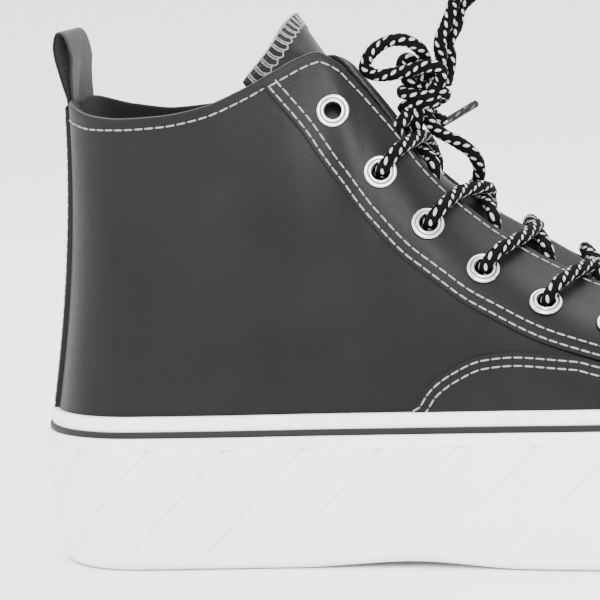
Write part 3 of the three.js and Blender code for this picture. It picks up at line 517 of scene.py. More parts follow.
def node(tree, kind, **values):
    """New node with its sockets or properties set by name."""
    n = tree.nodes.new(kind)
    for key, value in values.items():
        if key in n.inputs:
            n.inputs[key].default_value = value
        else:
            setattr(n, key, value)
    return n


def coordinates(tree, kind="Object"):
    return node(tree, "ShaderNodeTexCoord").outputs[kind]


def noise(tree, scale, detail=3.0):
    n = node(tree, "ShaderNodeTexNoise", Scale=scale, Detail=detail, Roughness=0.55)
    tree.links.new(coordinates(tree), n.inputs["Vector"])
    return n.outputs["Fac"]


def paint(tree, shader, factor, dark, light):
    """Base colour from dark to light as the factor goes from 0.3 to 0.7."""
    ramp = node(tree, "ShaderNodeValToRGB")
    for stop, place, color in zip(ramp.color_ramp.elements, (0.3, 0.7), (dark, light)):
        stop.position, stop.color = place, (*color, 1)
    tree.links.new(factor, ramp.inputs["Fac"])
    tree.links.new(ramp.outputs["Color"], shader.inputs["Base Color"])


def bump(tree, shader, height, strength, distance, normal=None):
    """Bump from a height, after another one where its normal is given."""
    n = node(tree, "ShaderNodeBump", Strength=strength, Distance=distance)
    tree.links.new(height, n.inputs["Height"])
    if normal is not None:
        tree.links.new(normal, n.inputs["Normal"])
    tree.links.new(n.outputs["Normal"], shader.inputs["Normal"])
    return n.outputs["Normal"]


def calculator(tree):
    """Function that adds Math nodes of numbers or sockets to the tree."""
    def calc(operation, *values):
        n = node(tree, "ShaderNodeMath", operation=operation)
        for socket, value in zip(n.inputs, values):
            if isinstance(value, (int, float)):
                socket.default_value = value
            else:
                tree.links.new(value, socket)
        return n.outputs[0]

    return calc


def split_xyz(tree, vector):
    split = node(tree, "ShaderNodeSeparateXYZ")
    tree.links.new(vector, split.inputs[0])
    return split.outputs


def leather_material(name, dark, light, roughness):
    """Fine-grained leather: pores about half a millimetre wide, a soft mottle and a sheen that
    varies a little."""
    m, tree, shader = new_material(name, light, roughness, coat=0.02, shine=0.14)
    cells = node(tree, "ShaderNodeTexVoronoi", Scale=1500.0)
    tree.links.new(coordinates(tree), cells.inputs["Vector"])
    paint(tree, shader, noise(tree, 22.0, 4.0), dark, light)
    ends = {"To Min": roughness - 0.06, "To Max": roughness + 0.09}
    rough = node(tree, "ShaderNodeMapRange", **ends)
    tree.links.new(noise(tree, 420.0), rough.inputs["Value"])
    tree.links.new(rough.outputs["Result"], shader.inputs["Roughness"])
    first = bump(tree, shader, noise(tree, 60.0, 5.0), 0.35, 0.0006)
    bump(tree, shader, cells.outputs["Distance"], 0.32, 0.00012, first)
    return m


FULL_TURN = 6.283


def weave_material(name, dark, light, pitch, roughness=0.9):
    """Twill cloth: slanted ribs one pitch apart."""
    m, tree, shader = new_material(name, light, roughness, sheen=0.05, shine=0.15)
    x, y, z = split_xyz(tree, coordinates(tree))
    calc = calculator(tree)
    slant = calc("MULTIPLY", calc("ADD", calc("ADD", x, y), z), FULL_TURN / pitch)
    other = calc("MULTIPLY", calc("SUBTRACT", x, z), FULL_TURN / (1.6 * pitch))
    height = calc("MULTIPLY_ADD", calc("SINE", slant), 0.5,
                  calc("MULTIPLY", calc("SINE", other), 0.25))
    paint(tree, shader, calc("ADD", height, 0.5), dark, light)
    bump(tree, shader, height, 0.6, 0.0004)
    return m


def rubber_material(name, color, dirt, roughness, grain=0.25):
    """Moulded rubber: an even colour with a slight cloud and a fine grain."""
    m, tree, shader = new_material(name, color, roughness, shine=0.3)
    paint(tree, shader, noise(tree, 16.0), dirt, color)
    bump(tree, shader, noise(tree, 1300.0, 2.0), grain, 0.00008)
    return m


def lace_material(name, dark, light, roughness, coat=0.0, around=BRAID_ROWS, pitch=BRAID_PITCH):
    """Dark braid with a whole number of rows of light dots round it, each a half pitch ahead of
    the last; a dot is a rounded lozenge in the UV map."""
    m, tree, shader = new_material(name, dark, roughness, coat=coat, shine=0.08)
    calc = calculator(tree)
    turn, run = split_xyz(tree, coordinates(tree, "UV"))[:2]
    rows = calc("MULTIPLY_ADD", turn, around, calc("MULTIPLY", run, BRAID_TWIST))
    across = calc("SUBTRACT", calc("FRACT", rows), 0.5)
    steps = calc("MULTIPLY_ADD", calc("FLOOR", rows), 0.5, calc("MULTIPLY", run, 1 / pitch))
    along = calc("SUBTRACT", calc("FRACT", steps), 0.5)
    lean = calc("MULTIPLY_ADD", across, DOT_LEAN, along)
    away = [calc("POWER", calc("ABSOLUTE", calc("DIVIDE", place, half)), 2.4)
            for place, half in ((across, 0.185), (lean, 0.3))]
    dot = calc("LESS_THAN", calc("ADD", *away), 1.0)
    strands = calc("MULTIPLY_ADD", turn, 9.0, run)
    mix = node(tree, "ShaderNodeMix", data_type="RGBA")
    tree.links.new(dot, mix.inputs[0])
    mix.inputs[6].default_value = (*dark, 1)
    mix.inputs[7].default_value = (*light, 1)
    tree.links.new(mix.outputs[2], shader.inputs["Base Color"])
    bump(tree, shader, calc("SINE", calc("MULTIPLY", strands, 22.0)), 0.5, 0.00012)
    return m


leather = leather_material("black_leather", (0.003, 0.003, 0.0033), (0.0062, 0.0062, 0.0067),
                           0.42)
loop_leather = leather_material("loop_band", (0.018, 0.0165, 0.0155), (0.03, 0.028, 0.0265), 0.5)
lining = weave_material("dark_twill_lining", (0.0015, 0.0015, 0.0016), (0.009, 0.009, 0.0095),
                        0.0014)
rim_thread = weave_material("collar_edge", (0.02, 0.02, 0.02), (0.07, 0.07, 0.07), 0.0009, 0.8)
white_rubber = rubber_material("white_rubber", (0.88, 0.88, 0.875), (0.83, 0.83, 0.825), 0.42)
tread_rubber = rubber_material("tread_rubber", (0.84, 0.84, 0.83), (0.7, 0.7, 0.69), 0.6, 0.5)
stripe_rubber = rubber_material("dark_stripe", (0.0045, 0.004, 0.0036),
                                (0.003, 0.0027, 0.0025), 0.6)
thread = weave_material("light_thread", (0.2, 0.2, 0.195), (0.4, 0.4, 0.39), 0.0005, 0.7)
grey_thread = weave_material("grey_overlock_thread", (0.16, 0.16, 0.16), (0.34, 0.34, 0.335),
                             0.0006)
braid = lace_material("dotted_braid", (0.0016, 0.0016, 0.0017), (0.42, 0.42, 0.415), 0.85)
film = lace_material("aglet_film", (0.005, 0.0046, 0.0043), (0.12, 0.097, 0.075), 0.25, 0.35,
                     4, 3.4)
metal, metal_tree, metal_shader = new_material("polished_nickel", (0.62, 0.62, 0.62), 0.18, 1.0)
# Darker nickel that paints shade into the eyelets' groove and inside their barrels
painted_shade_metal = new_material("nickel_painted_shade", (0.12, 0.12, 0.12), 0.4, 1.0)[0]
bump(metal_tree, metal_shader, noise(metal_tree, 900.0, 2.0), 0.06, 0.00005)


# Camera at the photograph's angle, rolled as the photograph is

CAMERA_DISTANCE, PIXELS_PER_MM, CAMERA_TARGET = 1240.0, 3.28, (-45.9, -30.0, 83.0)


def set_camera():
    a, e, r = np.radians([15.5, 7.2, -4.0])  # azimuth from -Y, elevation, roll
    back = np.array([np.sin(a) * np.cos(e), -np.cos(a) * np.cos(e), np.sin(e)])
    right = np.array([np.cos(a), np.sin(a), 0.0])
    up = np.cross(back, right)
    turned = np.cos(r) * right + np.sin(r) * up
    top = -np.sin(r) * right + np.cos(r) * up
    data = bpy.data.cameras.new("camera")
    data.sensor_width = 36.0
    data.lens = PIXELS_PER_MM * CAMERA_DISTANCE * 36.0 / 600.0
    data.clip_start, data.clip_end = 0.05, 60.0
    cam = put_object("camera", data)
    place = (np.array(CAMERA_TARGET) + back * CAMERA_DISTANCE) * MM
    cam.matrix_world = Matrix([*np.stack([turned, top, back, place], 1), (0, 0, 0, 1)])
    bpy.context.scene.camera = cam


set_camera()

# Cords: the bow's two loops and its long end leave the knot, and a fold lies over it; points from
# the knot's middle, in lace diameters
KNOT = np.array([-10.02, -3.0, 140.18])
REAR_LOOP = [(1.06, -0.38, 0.87), (1.69, -0.5, 1.55), (1.72, -0.75, 2.33), (0.81, -1.12, 2.64),
             (-0.49, -1.38, 2.42), (-1.86, -1.62, 2.2), (-3.2, -1.62, 2.19), (-3.92, -1.62,
             2.68), (-3.69, -1.5, 3.58), (-2.72, -1.38, 4.41), (-1.46, -1.25, 4.79), (-0.42,
             -0.75, 4.47), (0.18, 0, 3.73), (0.22, 0.75, 2.9), (-0.31, 1.12, 2.12), (-0.73,
             1, 1.3), (-0.78, 0.75, 0.86)]
UPRIGHT_LOOP = [(1.15, 0.4, 0.5), (1.5, 0.75, 2.9), (1.5, 0.75, 4.38), (2.2, 0.75, 5.8),
                (2.8, 0.75, 7.25), (3.3, 0.38, 8.5), (4.17, 0.75, 10), (5.17, 1.38, 10.5),
                (5.55, 2, 9.5), (4.42, 2.12, 8), (3.08, 2, 6.88), (2.58, 2, 5.4), (1.85, 1.95, 4),
                (1.95, 1.95, 2.8), (1.5, 1.5, 0.8)]
HANGING_END = [(0.42, -0.25, -1.73), (1.32, -0.2, -2.62), (2.5, 0, -3.35), (3.45, 0.4, -4.2),
               (3.85, 1, -5.2), (3.65, 1.8, -6.2), (3.2, 2.6, -6.95)]
HANGING_AGLET = [(3.1, 2.8, -7.1), (2.95, 3.8, -7.95)]
TOP_FOLD = [(-0.15, 0, 0.59), (-0.76, -0.25, 1.26), (-1.31, 0, 2.11), (-1.48, 0.25, 2.79),
            (-1.12, 0.5, 3.18), (-0.79, 1, 2.77), (-0.83, 1.25, 1.9), (-0.75, 1.25, 0.81)]
SHORT_AGLET = [(1, 2.38, -2.08), (3.5, 3.82, -0.72)]


def from_knot(rows):
    """Points in millimetres from rows in lace diameters."""
    return KNOT + LACE * np.array(rows, float)


def finish(piece, slot, *replaced):
    """Puts a piece on the shoe's one body and hides the solids it stands for. The slot is not used.
    """
    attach(piece, "root")
    if replaced:
        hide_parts(*replaced)
    return piece


def cord_piece(name, rows, far_end, **more):
    """Free stretch of lace: a braided tube along its points; its length is worked out and not used.
    """
    made = lace(from_knot(rows))
    line = made[3]
    piece = finish(tubes_piece(name + "_braid", [made], braid), "lace_cord", name)
    float(walked(line)[-1]) * MM


def aglet_piece(name, rows):
    """Film rolled tight round the lace's tip: a thin tube with rounded ends."""
    made = tube_arrays(from_knot(rows), 1.2, sides=14, spacing=0.5)
    return finish(tubes_piece(name + "_film", [made], film), "aglet_film", name)


hanging_aglet = aglet_piece("aglet_hanging", HANGING_AGLET)
aglet_piece("aglet_short", SHORT_AGLET)
cord_piece("lace_loop_rear", REAR_LOOP, "object")
cord_piece("lace_loop_upright", UPRIGHT_LOOP, "object")
cord_piece("lace_end_hanging", HANGING_END, "fitting", with_pieces=[hanging_aglet])


# Sole

def rings(q, profile):
    """Rows of the outline: each row of the profile is an inset and a distance below the rim."""
    rows = []
    for inset, down in profile:
        x, y = outline(q, inset)
        rows.append(np.stack([x, y, rim(x) - down], -1))
    return np.array(rows)


def spread(x, y, reach):
    """Places between the middle line, where the reach is 0, and an outline, where it is 1."""
    spine = np.clip(x, *SPINE)
    return spine + (x - spine) * reach, y * reach


def facet_inset(level, way):
    """Side wall's inset: a taper to its foot, and from each groove a plane up to the crest and a
    longer one back to the next, deeper towards the lip."""
    phase = np.mod((way - FACET_START) / FACET_PITCH, 1.0)
    ridge = np.where(phase < FACET_CREST, 1 - phase / FACET_CREST,
                     (phase - FACET_CREST) / (1 - FACET_CREST))
    depth = FACET_DEPTH * (0.25 + 0.75 * level)
    away = FACET_PITCH * np.minimum(phase, 1 - phase)
    groove = GROOVE_DEPTH * np.exp(-(away / GROOVE_WIDTH) ** 2)
    return (SIDE_TAPER * (1 - level) ** 2
            + np.where(level > 0, depth * ridge + groove, FACET_DEPTH * 0.25))


def sole_columns(side):
    """Positions of the grooves, crests and six places between them, from heel to toe."""
    length = SIDE[side]
    count = int(np.ceil(length / FACET_PITCH)) + 3
    fine = np.array([0.3, 0.6, 1.0]) / FACET_PITCH
    inside = np.concatenate([[0], fine, np.linspace(fine[-1], FACET_CREST, 5)[1:-1],
                             np.linspace(FACET_CREST, 1 - fine[-1], 7)[:-1], 1 - fine[::-1]])
    return (FACET_START + (np.arange(-2, count)[:, None] + inside[None]) * FACET_PITCH).reshape(-1)


LIP = [(0.35, SIDE_TOP), (0.1, SIDE_TOP - 0.15), (0.0, SIDE_TOP - 0.6), (0.0, SIDE_TOP - 1.3),
       (0.25, FOOTBED + 1.7), (0.5, FOOTBED + 0.9), (0.8, FOOTBED + 0.25), (1.3, FOOTBED),
       (6.0, FOOTBED)]  # inset, distance below the rim
TREAD_ROWS = 10


def platform():
    """Side wall whose columns climb at 45 degrees along the grooves, with the lip above it and
    the rounded foot and the underside below."""
    columns = {side: sole_columns(side) for side in SIDE}
    ways = np.concatenate([columns["outer"][::-1], columns["inner"]])
    sign = np.repeat([-1.0, 1.0], [len(columns["outer"]), len(columns["inner"])])
    length = np.where(sign < 0, SIDE["outer"], SIDE["inner"])
    side_climb = SOLE_HEIGHT - SIDE_TOP - WALL_FOOT
    foot_inset = SIDE_TAPER + FACET_DEPTH * 0.25
    rows = []

    def add_row(level, inset_of, height_of):
        climb = np.clip(level, 0, 1) * side_climb
        travel = np.clip(ways + climb, 0, length)
        x, y = outline(sign * travel / length, inset_of(travel - climb))
        rows.append(np.stack([x, y, height_of(x)], -1))

    foot = outline(sign * np.clip(ways, 0, length) / length, EDGE_ROUND)
    for reach in np.linspace(0.0, 1.0, 9)[:-1]:  # underside, from its middle line outwards
        x, y = spread(*foot, reach)
        rows.append(np.stack([x, y, ground(x)], -1))
    for a in np.linspace(0, np.pi / 2, 8):
        inset = EDGE_ROUND - (EDGE_ROUND - foot_inset) * np.sin(a)
        up = WALL_FOOT * (1 - np.cos(a))
        add_row(0.0, lambda w: inset, lambda x: ground(x) + up)
    for level in np.linspace(0, 1, 15)[1:]:
        add_row(level, lambda w: facet_inset(level, w), lambda x: ground(x) + WALL_FOOT
                + level * (rim(x) - SIDE_TOP - ground(x) - WALL_FOOT))
    for inset, down in LIP:
        add_row(1.0, lambda w: inset, lambda x: rim(x) - down)
    slots = [1] * TREAD_ROWS + [0] * (len(rows) - TREAD_ROWS)
    piece = grid_piece("platform_sole_skin", np.array(rows), [white_rubber, tread_rubber],
                       wrap_cols=True, row_slots=slots)
    piece.data.set_sharp_from_angle(angle=np.radians(5.0))
    return piece


finish(platform(), "sole_rubber", "platform_sole")
around = np.linspace(-1, 1, 521)[:-1]


def band(name, profile, material, slot_name, replaced):
    """Ring whose section is the profile: inset and distance below the rim."""
    piece = grid_piece(name, rings(around, profile), [material], wrap_rows=True, wrap_cols=True)
    return finish(piece, slot_name, replaced)


band("pinstripe_band", [
    (BAND_FOOT, 6.75), (1.8, 6.75), (1.57, 6.6), (STRIPE_SETBACK, 6.3), (STRIPE_SETBACK, 5.35),
    (1.57, 5.05), (1.8, FOXING_BAND), (BAND_FOOT, 4.88)], stripe_rubber, "stripe_rubber",
    "pinstripe")
band("foxing_band", [
    (5.6, FOXING_BAND), (2.7, FOXING_BAND), (2.42, 4.75), (FOXING_SETBACK, 4.4),
    (FOXING_SETBACK, 1.5), (2.38, 0.9), (2.62, 0.48), (3.0, 0.3), (4.0, 0.26), (5.6, 0.4)],
    white_rubber, "sole_rubber", "foxing")


def insole():
    """Footbed, rounded into a top that sinks a little to its middle."""
    rows = rings(around, [(INSOLE_INSET, 6.4), (INSOLE_INSET, 3.0), (INSOLE_INSET + 0.5, 2.5),
                          (INSOLE_INSET + 1.8, INSOLE_DOWN)])
    more = []
    for reach in (0.75, 0.5, 0.25, 0.0):
        x, y = spread(*rows[-1].T[:2], reach)
        more.append(np.stack([x, y, rim(x) - INSOLE_DOWN - 0.8 * (1 - reach * reach)], -1))
    p = np.concatenate([rows, np.array(more)])
    return grid_piece("insole_skin", p, [lining], wrap_cols=True)


finish(insole(), "insole_textile", "insole")


# Upper and its overlays

places = {sign: eyelet_places(sign) for sign in (-1, 1)}
hole_at = np.concatenate([places[s][0] for s in (-1, 1)])
hole_axis = np.concatenate([places[s][1] for s in (-1, 1)])


def off_holes(p):
    """True for points outside every eyelet's hole."""
    d = p[..., None, :] - hole_at
    along = (d * hole_axis).sum(-1)
    away = np.sqrt(np.maximum((d * d).sum(-1) - along**2, 0))
    return ~((away < HOLE_RADIUS) & (np.abs(along) < 9)).any(-1)


def upper_skin():
    """Up the outside of every rib, over a half-round rim and down the inside, with the ribs
    closest together where the eyelets are."""
    q = np.concatenate([np.linspace(0, 0.34, 85)[:-1], np.linspace(0.34, 0.72, 180)[:-1],
                        np.linspace(0.72, 1, 55)])
    q = np.concatenate([-q[::-1], q[1:-1]])[:, None]
    u = np.concatenate([[-0.9, -0.4], np.linspace(0, 1, 84)])[None, :]
    u_inside = np.concatenate([np.linspace(1, 0, 50), [-0.4, -0.9]])[None, :]
    outside = off_skin(q, u, 0.0)
    a = np.linspace(0, np.pi, 9)[None, 1:-1]
    lip = off_skin(q, 1.0, -WALL / 2 + WALL / 2 * np.cos(a), 0.9 * np.sin(a))
    inside = off_skin(q, u_inside, -WALL)
    p = np.concatenate([outside, lip, inside], 1).transpose(1, 0, 2)
    leather_rows = u.shape[1] + 1
    slots = [0] * leather_rows + [2] * 2 + [1] * (len(p) - leather_rows - 2)
    return grid_piece("upper_leather", p, [leather, lining, rim_thread], wrap_cols=True,
                      keep=off_holes(p), row_slots=slots)


finish(upper_skin(), "upper_leather", "upper")


def overlay_rows(reach):
    """Shares of an overlay's width, and its heights there: flat between rounded edges."""
    edge_mm = np.array([0.0, 0.0, 0.08, 0.3, 0.8, 1.6])
    edge_up_mm = np.array([-0.4, OVERLAY - 0.55, OVERLAY - 0.2, OVERLAY - 0.04, OVERLAY, OVERLAY])
    step = np.minimum(edge_mm[None] / np.maximum(reach[:, None], 1e-6), 0.3)
    middle = np.linspace(0, 1, 44)[1:-1][None]
    low = step[:, -1:]
    shares = np.concatenate([step, low + (1 - 2 * low) * middle, 1 - step[:, ::-1]], 1)
    heights = np.concatenate([edge_up_mm, np.full(middle.shape[1], OVERLAY), edge_up_mm[::-1]])
    return shares, np.broadcast_to(heights, shares.shape)


def overlay_piece(name, q, low, high):
    """Leather overlay between two shares of each rib."""
    width = (high - low) * rib_length(q)
    shares, heights = overlay_rows(width)
    u = low[:, None] + (high - low)[:, None] * shares
    p = off_skin(q[:, None], u, heights).transpose(1, 0, 2)
    return grid_piece(name, p, [leather], keep=off_holes(p))


def throat_q(start, count):
    """Places along the outer side, round the toe and back along the inner side."""
    f = np.linspace(start, 1, count)
    return np.concatenate([-f, f[::-1][1:]])


q = throat_q(EYESTAY["round"][0], 330)
finish(overlay_piece("eyestay_leather", q, eyestay_foot(q), 1 - share(q, THROAT_INSET)),
       "upper_leather", "eyestay")
q = throat_q(VAMP["round"][0], 260)
finish(overlay_piece("vamp_leather", q, 0 * q - 0.3, vamp_top(q)), "upper_leather", "vamp")


def back_strip():
    """Strip over the heel seam, a little wider at mid height."""
    u = np.concatenate([[-0.3], np.linspace(0.0, 0.985, 70)])
    across = np.concatenate([[-1, -1, -0.99, -0.96], np.linspace(-0.92, 0.92, 24),
                             [0.96, 0.99, 1, 1]])
    high = np.full(len(across), OVERLAY)
    high[[0, -1]], high[[1, -2]], high[[2, -3]] = -0.4, 0.8, 1.2
    half = strip_half(np.clip(u, 0, 1))[:, None] * STRIP_WIDTH / SIDE["outer"]
    p = off_skin(across[None] * half, u[:, None], high[None])
    return grid_piece("back_strip_leather", p, [leather])


finish(back_strip(), "upper_leather", "back_strip")

LOOP_WIDTH, LOOP_BAND, LOOP_HEIGHT, LOOP_ROOT = 21.0, 0.8, 22.0, 1.2
LOOP_PATH = np.array([(-0.02, 0), (0.02, 0.2), (0.055, 0.42), (0.08, 0.64), (0.062, 0.84),
                      (0.01, 0.955), (-0.06, 0.945), (-0.125, 0.84), (-0.16, 0.62),
                      (-0.125, 0.42), (-0.095, 0.2), (-0.078, 0)])


def pull_loop():
    """Band along its side-view line, bent to the collar's curve at its foot and flat above; its
    ends go down into the collar."""
    path = side_view(-LOOP_PATH[:, 0], LOOP_PATH[:, 1]) * LOOP_HEIGHT
    line = resample(spline(path, 24), 0.5)
    t = heading(line)
    w = np.concatenate([[-1, -0.985], np.linspace(-0.96, 0.96, 19), [0.985, 1]]) / 2
    at_rim = skin(w * LOOP_WIDTH / (0.93 * SIDE["outer"]), 1.0 + 0 * w)
    mid = skin(np.array([0.0]), np.array([1.0]))[0]
    flat = np.minimum(1, line[:, 2] / LOOP_HEIGHT / 0.75)[:, None]
    thick = LOOP_BAND / 2 * np.concatenate([[0.1, 0.7], np.ones(19), [0.7, 0.1]])
    sides = []
    for side, order in ((1, slice(None)), (-1, slice(None, None, -1))):
        x, z = [at_rim[None, :, k] * (1 - flat) + mid[k] * flat + line[:, k:k + 1]
                + turn * side * thick * t[:, 2 - k:3 - k] for k, turn in ((0, -1), (2, 1))]
        y = np.broadcast_to(w * LOOP_WIDTH, x.shape)
        sides.append(np.stack([x, y, z], -1)[:, order])
    p = np.concatenate(sides, 1)
    p[[0, 1, 2, -3, -2, -1], :, 2] -= LOOP_ROOT
    f = grid_faces(*p.shape[:2], wrap_cols=True)
    column_of = f[:, 0] % p.shape[1]
    slots = ((column_of >= len(w)) & (column_of < 2 * len(w) - 1)) * 1
    return put_mesh("pull_loop_band", p.reshape(-1, 3), f, [loop_leather, lining], slots=slots)


finish(pull_loop(), "loop_leather", "pull_loop")


def tongue():
    """The tongue's own solid with its sections' quads restored and smoothed twice."""
    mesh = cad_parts["tongue"].data.copy()
    piece = put_object("tongue_leather", mesh)
    mesh.materials.clear()
    mesh.materials.append(leather)
    bm = bmesh.new()
    bm.from_mesh(mesh)
    bmesh.ops.remove_doubles(bm, verts=bm.verts, dist=1e-6)
    bmesh.ops.join_triangles(bm, faces=bm.faces, angle_face_threshold=0.8,
                             angle_shape_threshold=3.1)
    bmesh.ops.recalc_face_normals(bm, faces=bm.faces)
    crease = bm.edges.layers.float.new("crease_edge")
    for e in bm.edges:
        if len(e.link_faces) == 2 and e.calc_face_angle() > 0.6:
            e[crease] = 0.9
    bm.to_mesh(mesh)
    bm.free()
    mesh.polygons.foreach_set("use_smooth", np.ones(len(mesh.polygons), bool))
    smooth = piece.modifiers.new("smooth", "SUBSURF")
    smooth.levels = smooth.render_levels = 2
    return piece


tongue_skin = finish(tongue(), "upper_leather", "tongue")


# Eyelets

def lathe(profile, at, axis, sides=40):
    """Profile of radius and height turned about an axis."""
    s = unit(np.cross(axis, [0.3, 0.2, 0.93]))
    b = np.cross(axis, s)
    a = np.linspace(0, 2 * np.pi, sides + 1)[:-1]
    ring = np.cos(a)[:, None] * s + np.sin(a)[:, None] * b
    r, h = np.array(profile, float).T
    return at + r[:, None, None] * ring[None] + h[:, None, None] * axis


# Rolled flange with a raised lip round the hole and a barrel through it: radius and height
FLANGE_SEAT = OVERLAY + 0.12
EYELET_PROFILE = [(2.55, -3.6), (2.55, 0.2), (2.62, 0.62), (2.85, 0.95), (3.15, 1.1), (3.45, 1.05),
                  (3.65, 0.82), (3.85, 0.6), (4.05, 0.66), (4.3, 0.78), (4.65, 0.7), (4.95, 0.45),
                  (5.15, 0.0), (4.6, -0.1), (3.05, -0.1), (3.05, -3.6), (2.55, -3.6)]
EYELET_PAINTED_SHADE = [1, 1, 0, 0, 0, 0, 1, 1, 0, 0, 0, 0, 0, 1, 1, 1, 1]  # 1: darker metal, shade painted in the groove round the lip and inside the barrel
names = [f"eyelet_{side}_{k + 1}" for side in ("outer", "inner") for k in range(6)]
for name, at, axis in zip(names, hole_at, hole_axis):
    p = lathe([(r, h + FLANGE_SEAT) for r, h in EYELET_PROFILE], at, axis)
    # rows marked 1 take the darker metal, shade painted in the groove and the barrel
    finish(grid_piece(name + "_ring", p, [metal, painted_shade_metal], wrap_cols=True,
                      row_slots=EYELET_PAINTED_SHADE), "eyelet_metal", name)


# Lace over the tongue, whose ridge is given in side view

RIDGE = np.array([[68.92, 69.91], [61.16, 71.38], [53.8, 74.06], [48.53, 79.92], [42.53, 85.05],
                  [36.19, 89.77], [29.62, 94.14], [22.7, 97.96], [15.71, 101.63], [8.87, 105.58],
                  [2.11, 109.68], [-4.17, 114.45], [-9.75, 120.04], [-14.97, 125.97],
                  [-20.08, 132.0], [-25.0, 138.18], [-30.33, 144.0], [-36.13, 149.35]])
ridge_line = resample(spline(side_view(*RIDGE.T), 12), 0.5)
ridge_dir = heading(ridge_line)
ridge_up = side_view(ridge_dir[:, 2], -ridge_dir[:, 0])
throat = {}  # each side's edge, its outward direction and its direction across the throat
for sign in (-1, 1):
    f = sign * np.linspace(0.38, 0.86, 241)
    at = skin(f, 1.0 + 0 * f)
    throat[sign] = (at, outward(f, 1.0 + 0 * f), unit(at - skin(f, 0.97 + 0 * f)))


def nearest(line, to):
    """Number of the line's point nearest to a place."""
    return int(np.argmin(norm(line - to, axis=1)))


# Each crossing, by row: place of its apex on the ridge, then for the strand from the outer side
# and the one from the inner side: height over the ridge, step along the throat's edge before the
# lace goes over it, and how far short of the next row it dives under the other edge
CROSSINGS = {
    1: ((-13.9, 0, 124.8), (4.9, -1.5, 8.5), (2.1, -1.5, 6.5)),
    2: ((5.6, 0, 107.6), (5.0, 1.0, 8.5), (2.0, 1.0, 3.5)),
    3: ((22.2, 0, 98.2), (1.5, 4.0, 12.5), (0.3, 1.0, 5.0)),
    4: ((42.0, 0, 85.6), (0.8, 4.5, 12.0), (0.2, 0.0, 6.0)),
}


def strand_start(sign, row, ahead=0.0):
    """Out of the eyelet, over its flange and over the throat's edge, in steps along the eyelet's
    axis and across it, with the number of the edge's point."""
    at, axis = places[sign][0][row], places[sign][1][row]
    line, out, _ = throat[sign]
    k = nearest(line, at)
    k += int(round(ahead / norm(line[k + 1] - line[k])))
    across = line[k] - at
    across = unit(across - axis * (across @ axis))
    over = OVERLAY + LACE / 2
    steps = ((-3, 0.8), (0.8, 1.0), (3.2, 2.2), (4.4, 4.6), (over + 0.7, 7.5))
    points = [at + high * axis + away * across for high, away in steps]
    return points + [line[k] + out[k] * (over + 0.5)], k


def strand_end(sign, row, short):
    """Down beside the tongue and under the throat's edge, a little before the next row."""
    line, out, up = throat[sign]
    target = line[nearest(line, places[sign][0][row + 1])]
    miss = np.abs(norm(line - target, axis=1) - short) + (line[:, 0] > target[0]) * short
    k = int(np.argmin(miss))
    steps = ((5.0, 1.6), (2.4, -0.6), (-1.5, -2.2), (-6, -2.8))
    return [line[k] + up[k] * over + out[k] * off for over, off in steps]


def ridge_top(place, lift):
    """Point over the tongue's ridge, lifted at right angles to it."""
    k = nearest(ridge_line, np.array(place, float))
    return ridge_line[k] + ridge_up[k] * lift


for row, (apex, *runs) in CROSSINGS.items():
    strands = []
    for sign, (lift, ahead, short) in zip((-1, 1), runs):
        start, _ = strand_start(sign, row, ahead)
        points = start + [ridge_top(apex, lift)] + strand_end(-sign, row, short)
        strands.append(lace(points))
    name = f"lace_crossing_{row}"
    finish(tubes_piece(name + "_braid", strands, braid), "lace_cord", name)
start, k = strand_start(-1, 5)
other, _ = strand_start(1, 5)
middle = ridge_top(throat[-1][0][k] * [1, 0, 1], 3.0)
bar = lace(start + [middle] + other[::-1])
finish(tubes_piece("lace_bar_braid", [bar], braid), "lace_cord", "lace_bar")


def ellipse(center, rx, ry, tilt, lean, count=14):
    """Closed ring round the knot, tilted about Y and leaning about X."""
    a = np.linspace(0, 2 * np.pi, count + 1)[:-1]
    x, y = rx * np.cos(a), ry * np.sin(a)
    t, l = np.radians([tilt, lean])
    z = x * np.sin(t) + y * np.sin(l)
    return np.array(center) + np.stack([x * np.cos(t), y * np.cos(l), z], 1)


KNOT_WRAPS = [  # middle, two radii, tilt, lean
    ((-0.4, 0, 2.2), 5.6, 4.4, -7, 8), ((-1.0, 0, -1.6), 5.0, 4.2, 9, -10),
]
KNOT_STRANDS = [
    # legs down to the throat: near, middle and far
    [(-8.2, -12.8, -13), (-6.4, -12.2, -9.6), (-5, -10.2, -6.6), (-3.2, -5, -3.4), (0, -1, 0)],
    [(-5.5, 12, -16), (-4.5, 6, -12.5), (-2.2, -1, -9.8), (-1.4, -3.6, -6.5), (-0.6, -3, -2)],
    [(-9, 12.5, -10), (-6.5, 10, -6.5), (-3.5, 5, -3), (0, 1, 0)],
    # short end, core, fold at the right, stem of the long end, turn under the loops
    [(0, 2, 0), (1.4, 5.2, -4.6), (3.0, 7.4, -7.0), (4.6, 9.8, -8.0)],
    [(2.6, -0.6, -5.2), (0.4, 0, -2), (0, 0.4, 1.5), (2.2, 0.6, 5.2)],
    [(2.5, -3.2, 3.6), (5.4, -2.4, 2.8), (7.0, 0.8, 1.4), (5.6, 3.4, 0.2), (2.5, 3.4, -1.0)],
    [(-0.6, 1.2, -2.0), (0.6, 0.6, -4.6), (1.7, -0.4, -6.4), (3.6, -1.0, -8.6)],
    [(-1.6, 2.0, 2.8), (0.2, 2.2, 5.6), (2.6, 2.4, 7.4), (4.6, 2.4, 6.4), (5.0, 2.0, 3.4)],
]
wraps = [lace(ellipse(KNOT + at, *shape), closed=True) for at, *shape in KNOT_WRAPS]
strands = [lace(KNOT + np.array(points)) for points in KNOT_STRANDS]
finish(tubes_piece("lace_knot_braid", wraps + strands + [lace(from_knot(TOP_FOLD))], braid),
       "lace_cord", "lace_knot")


# Stitches

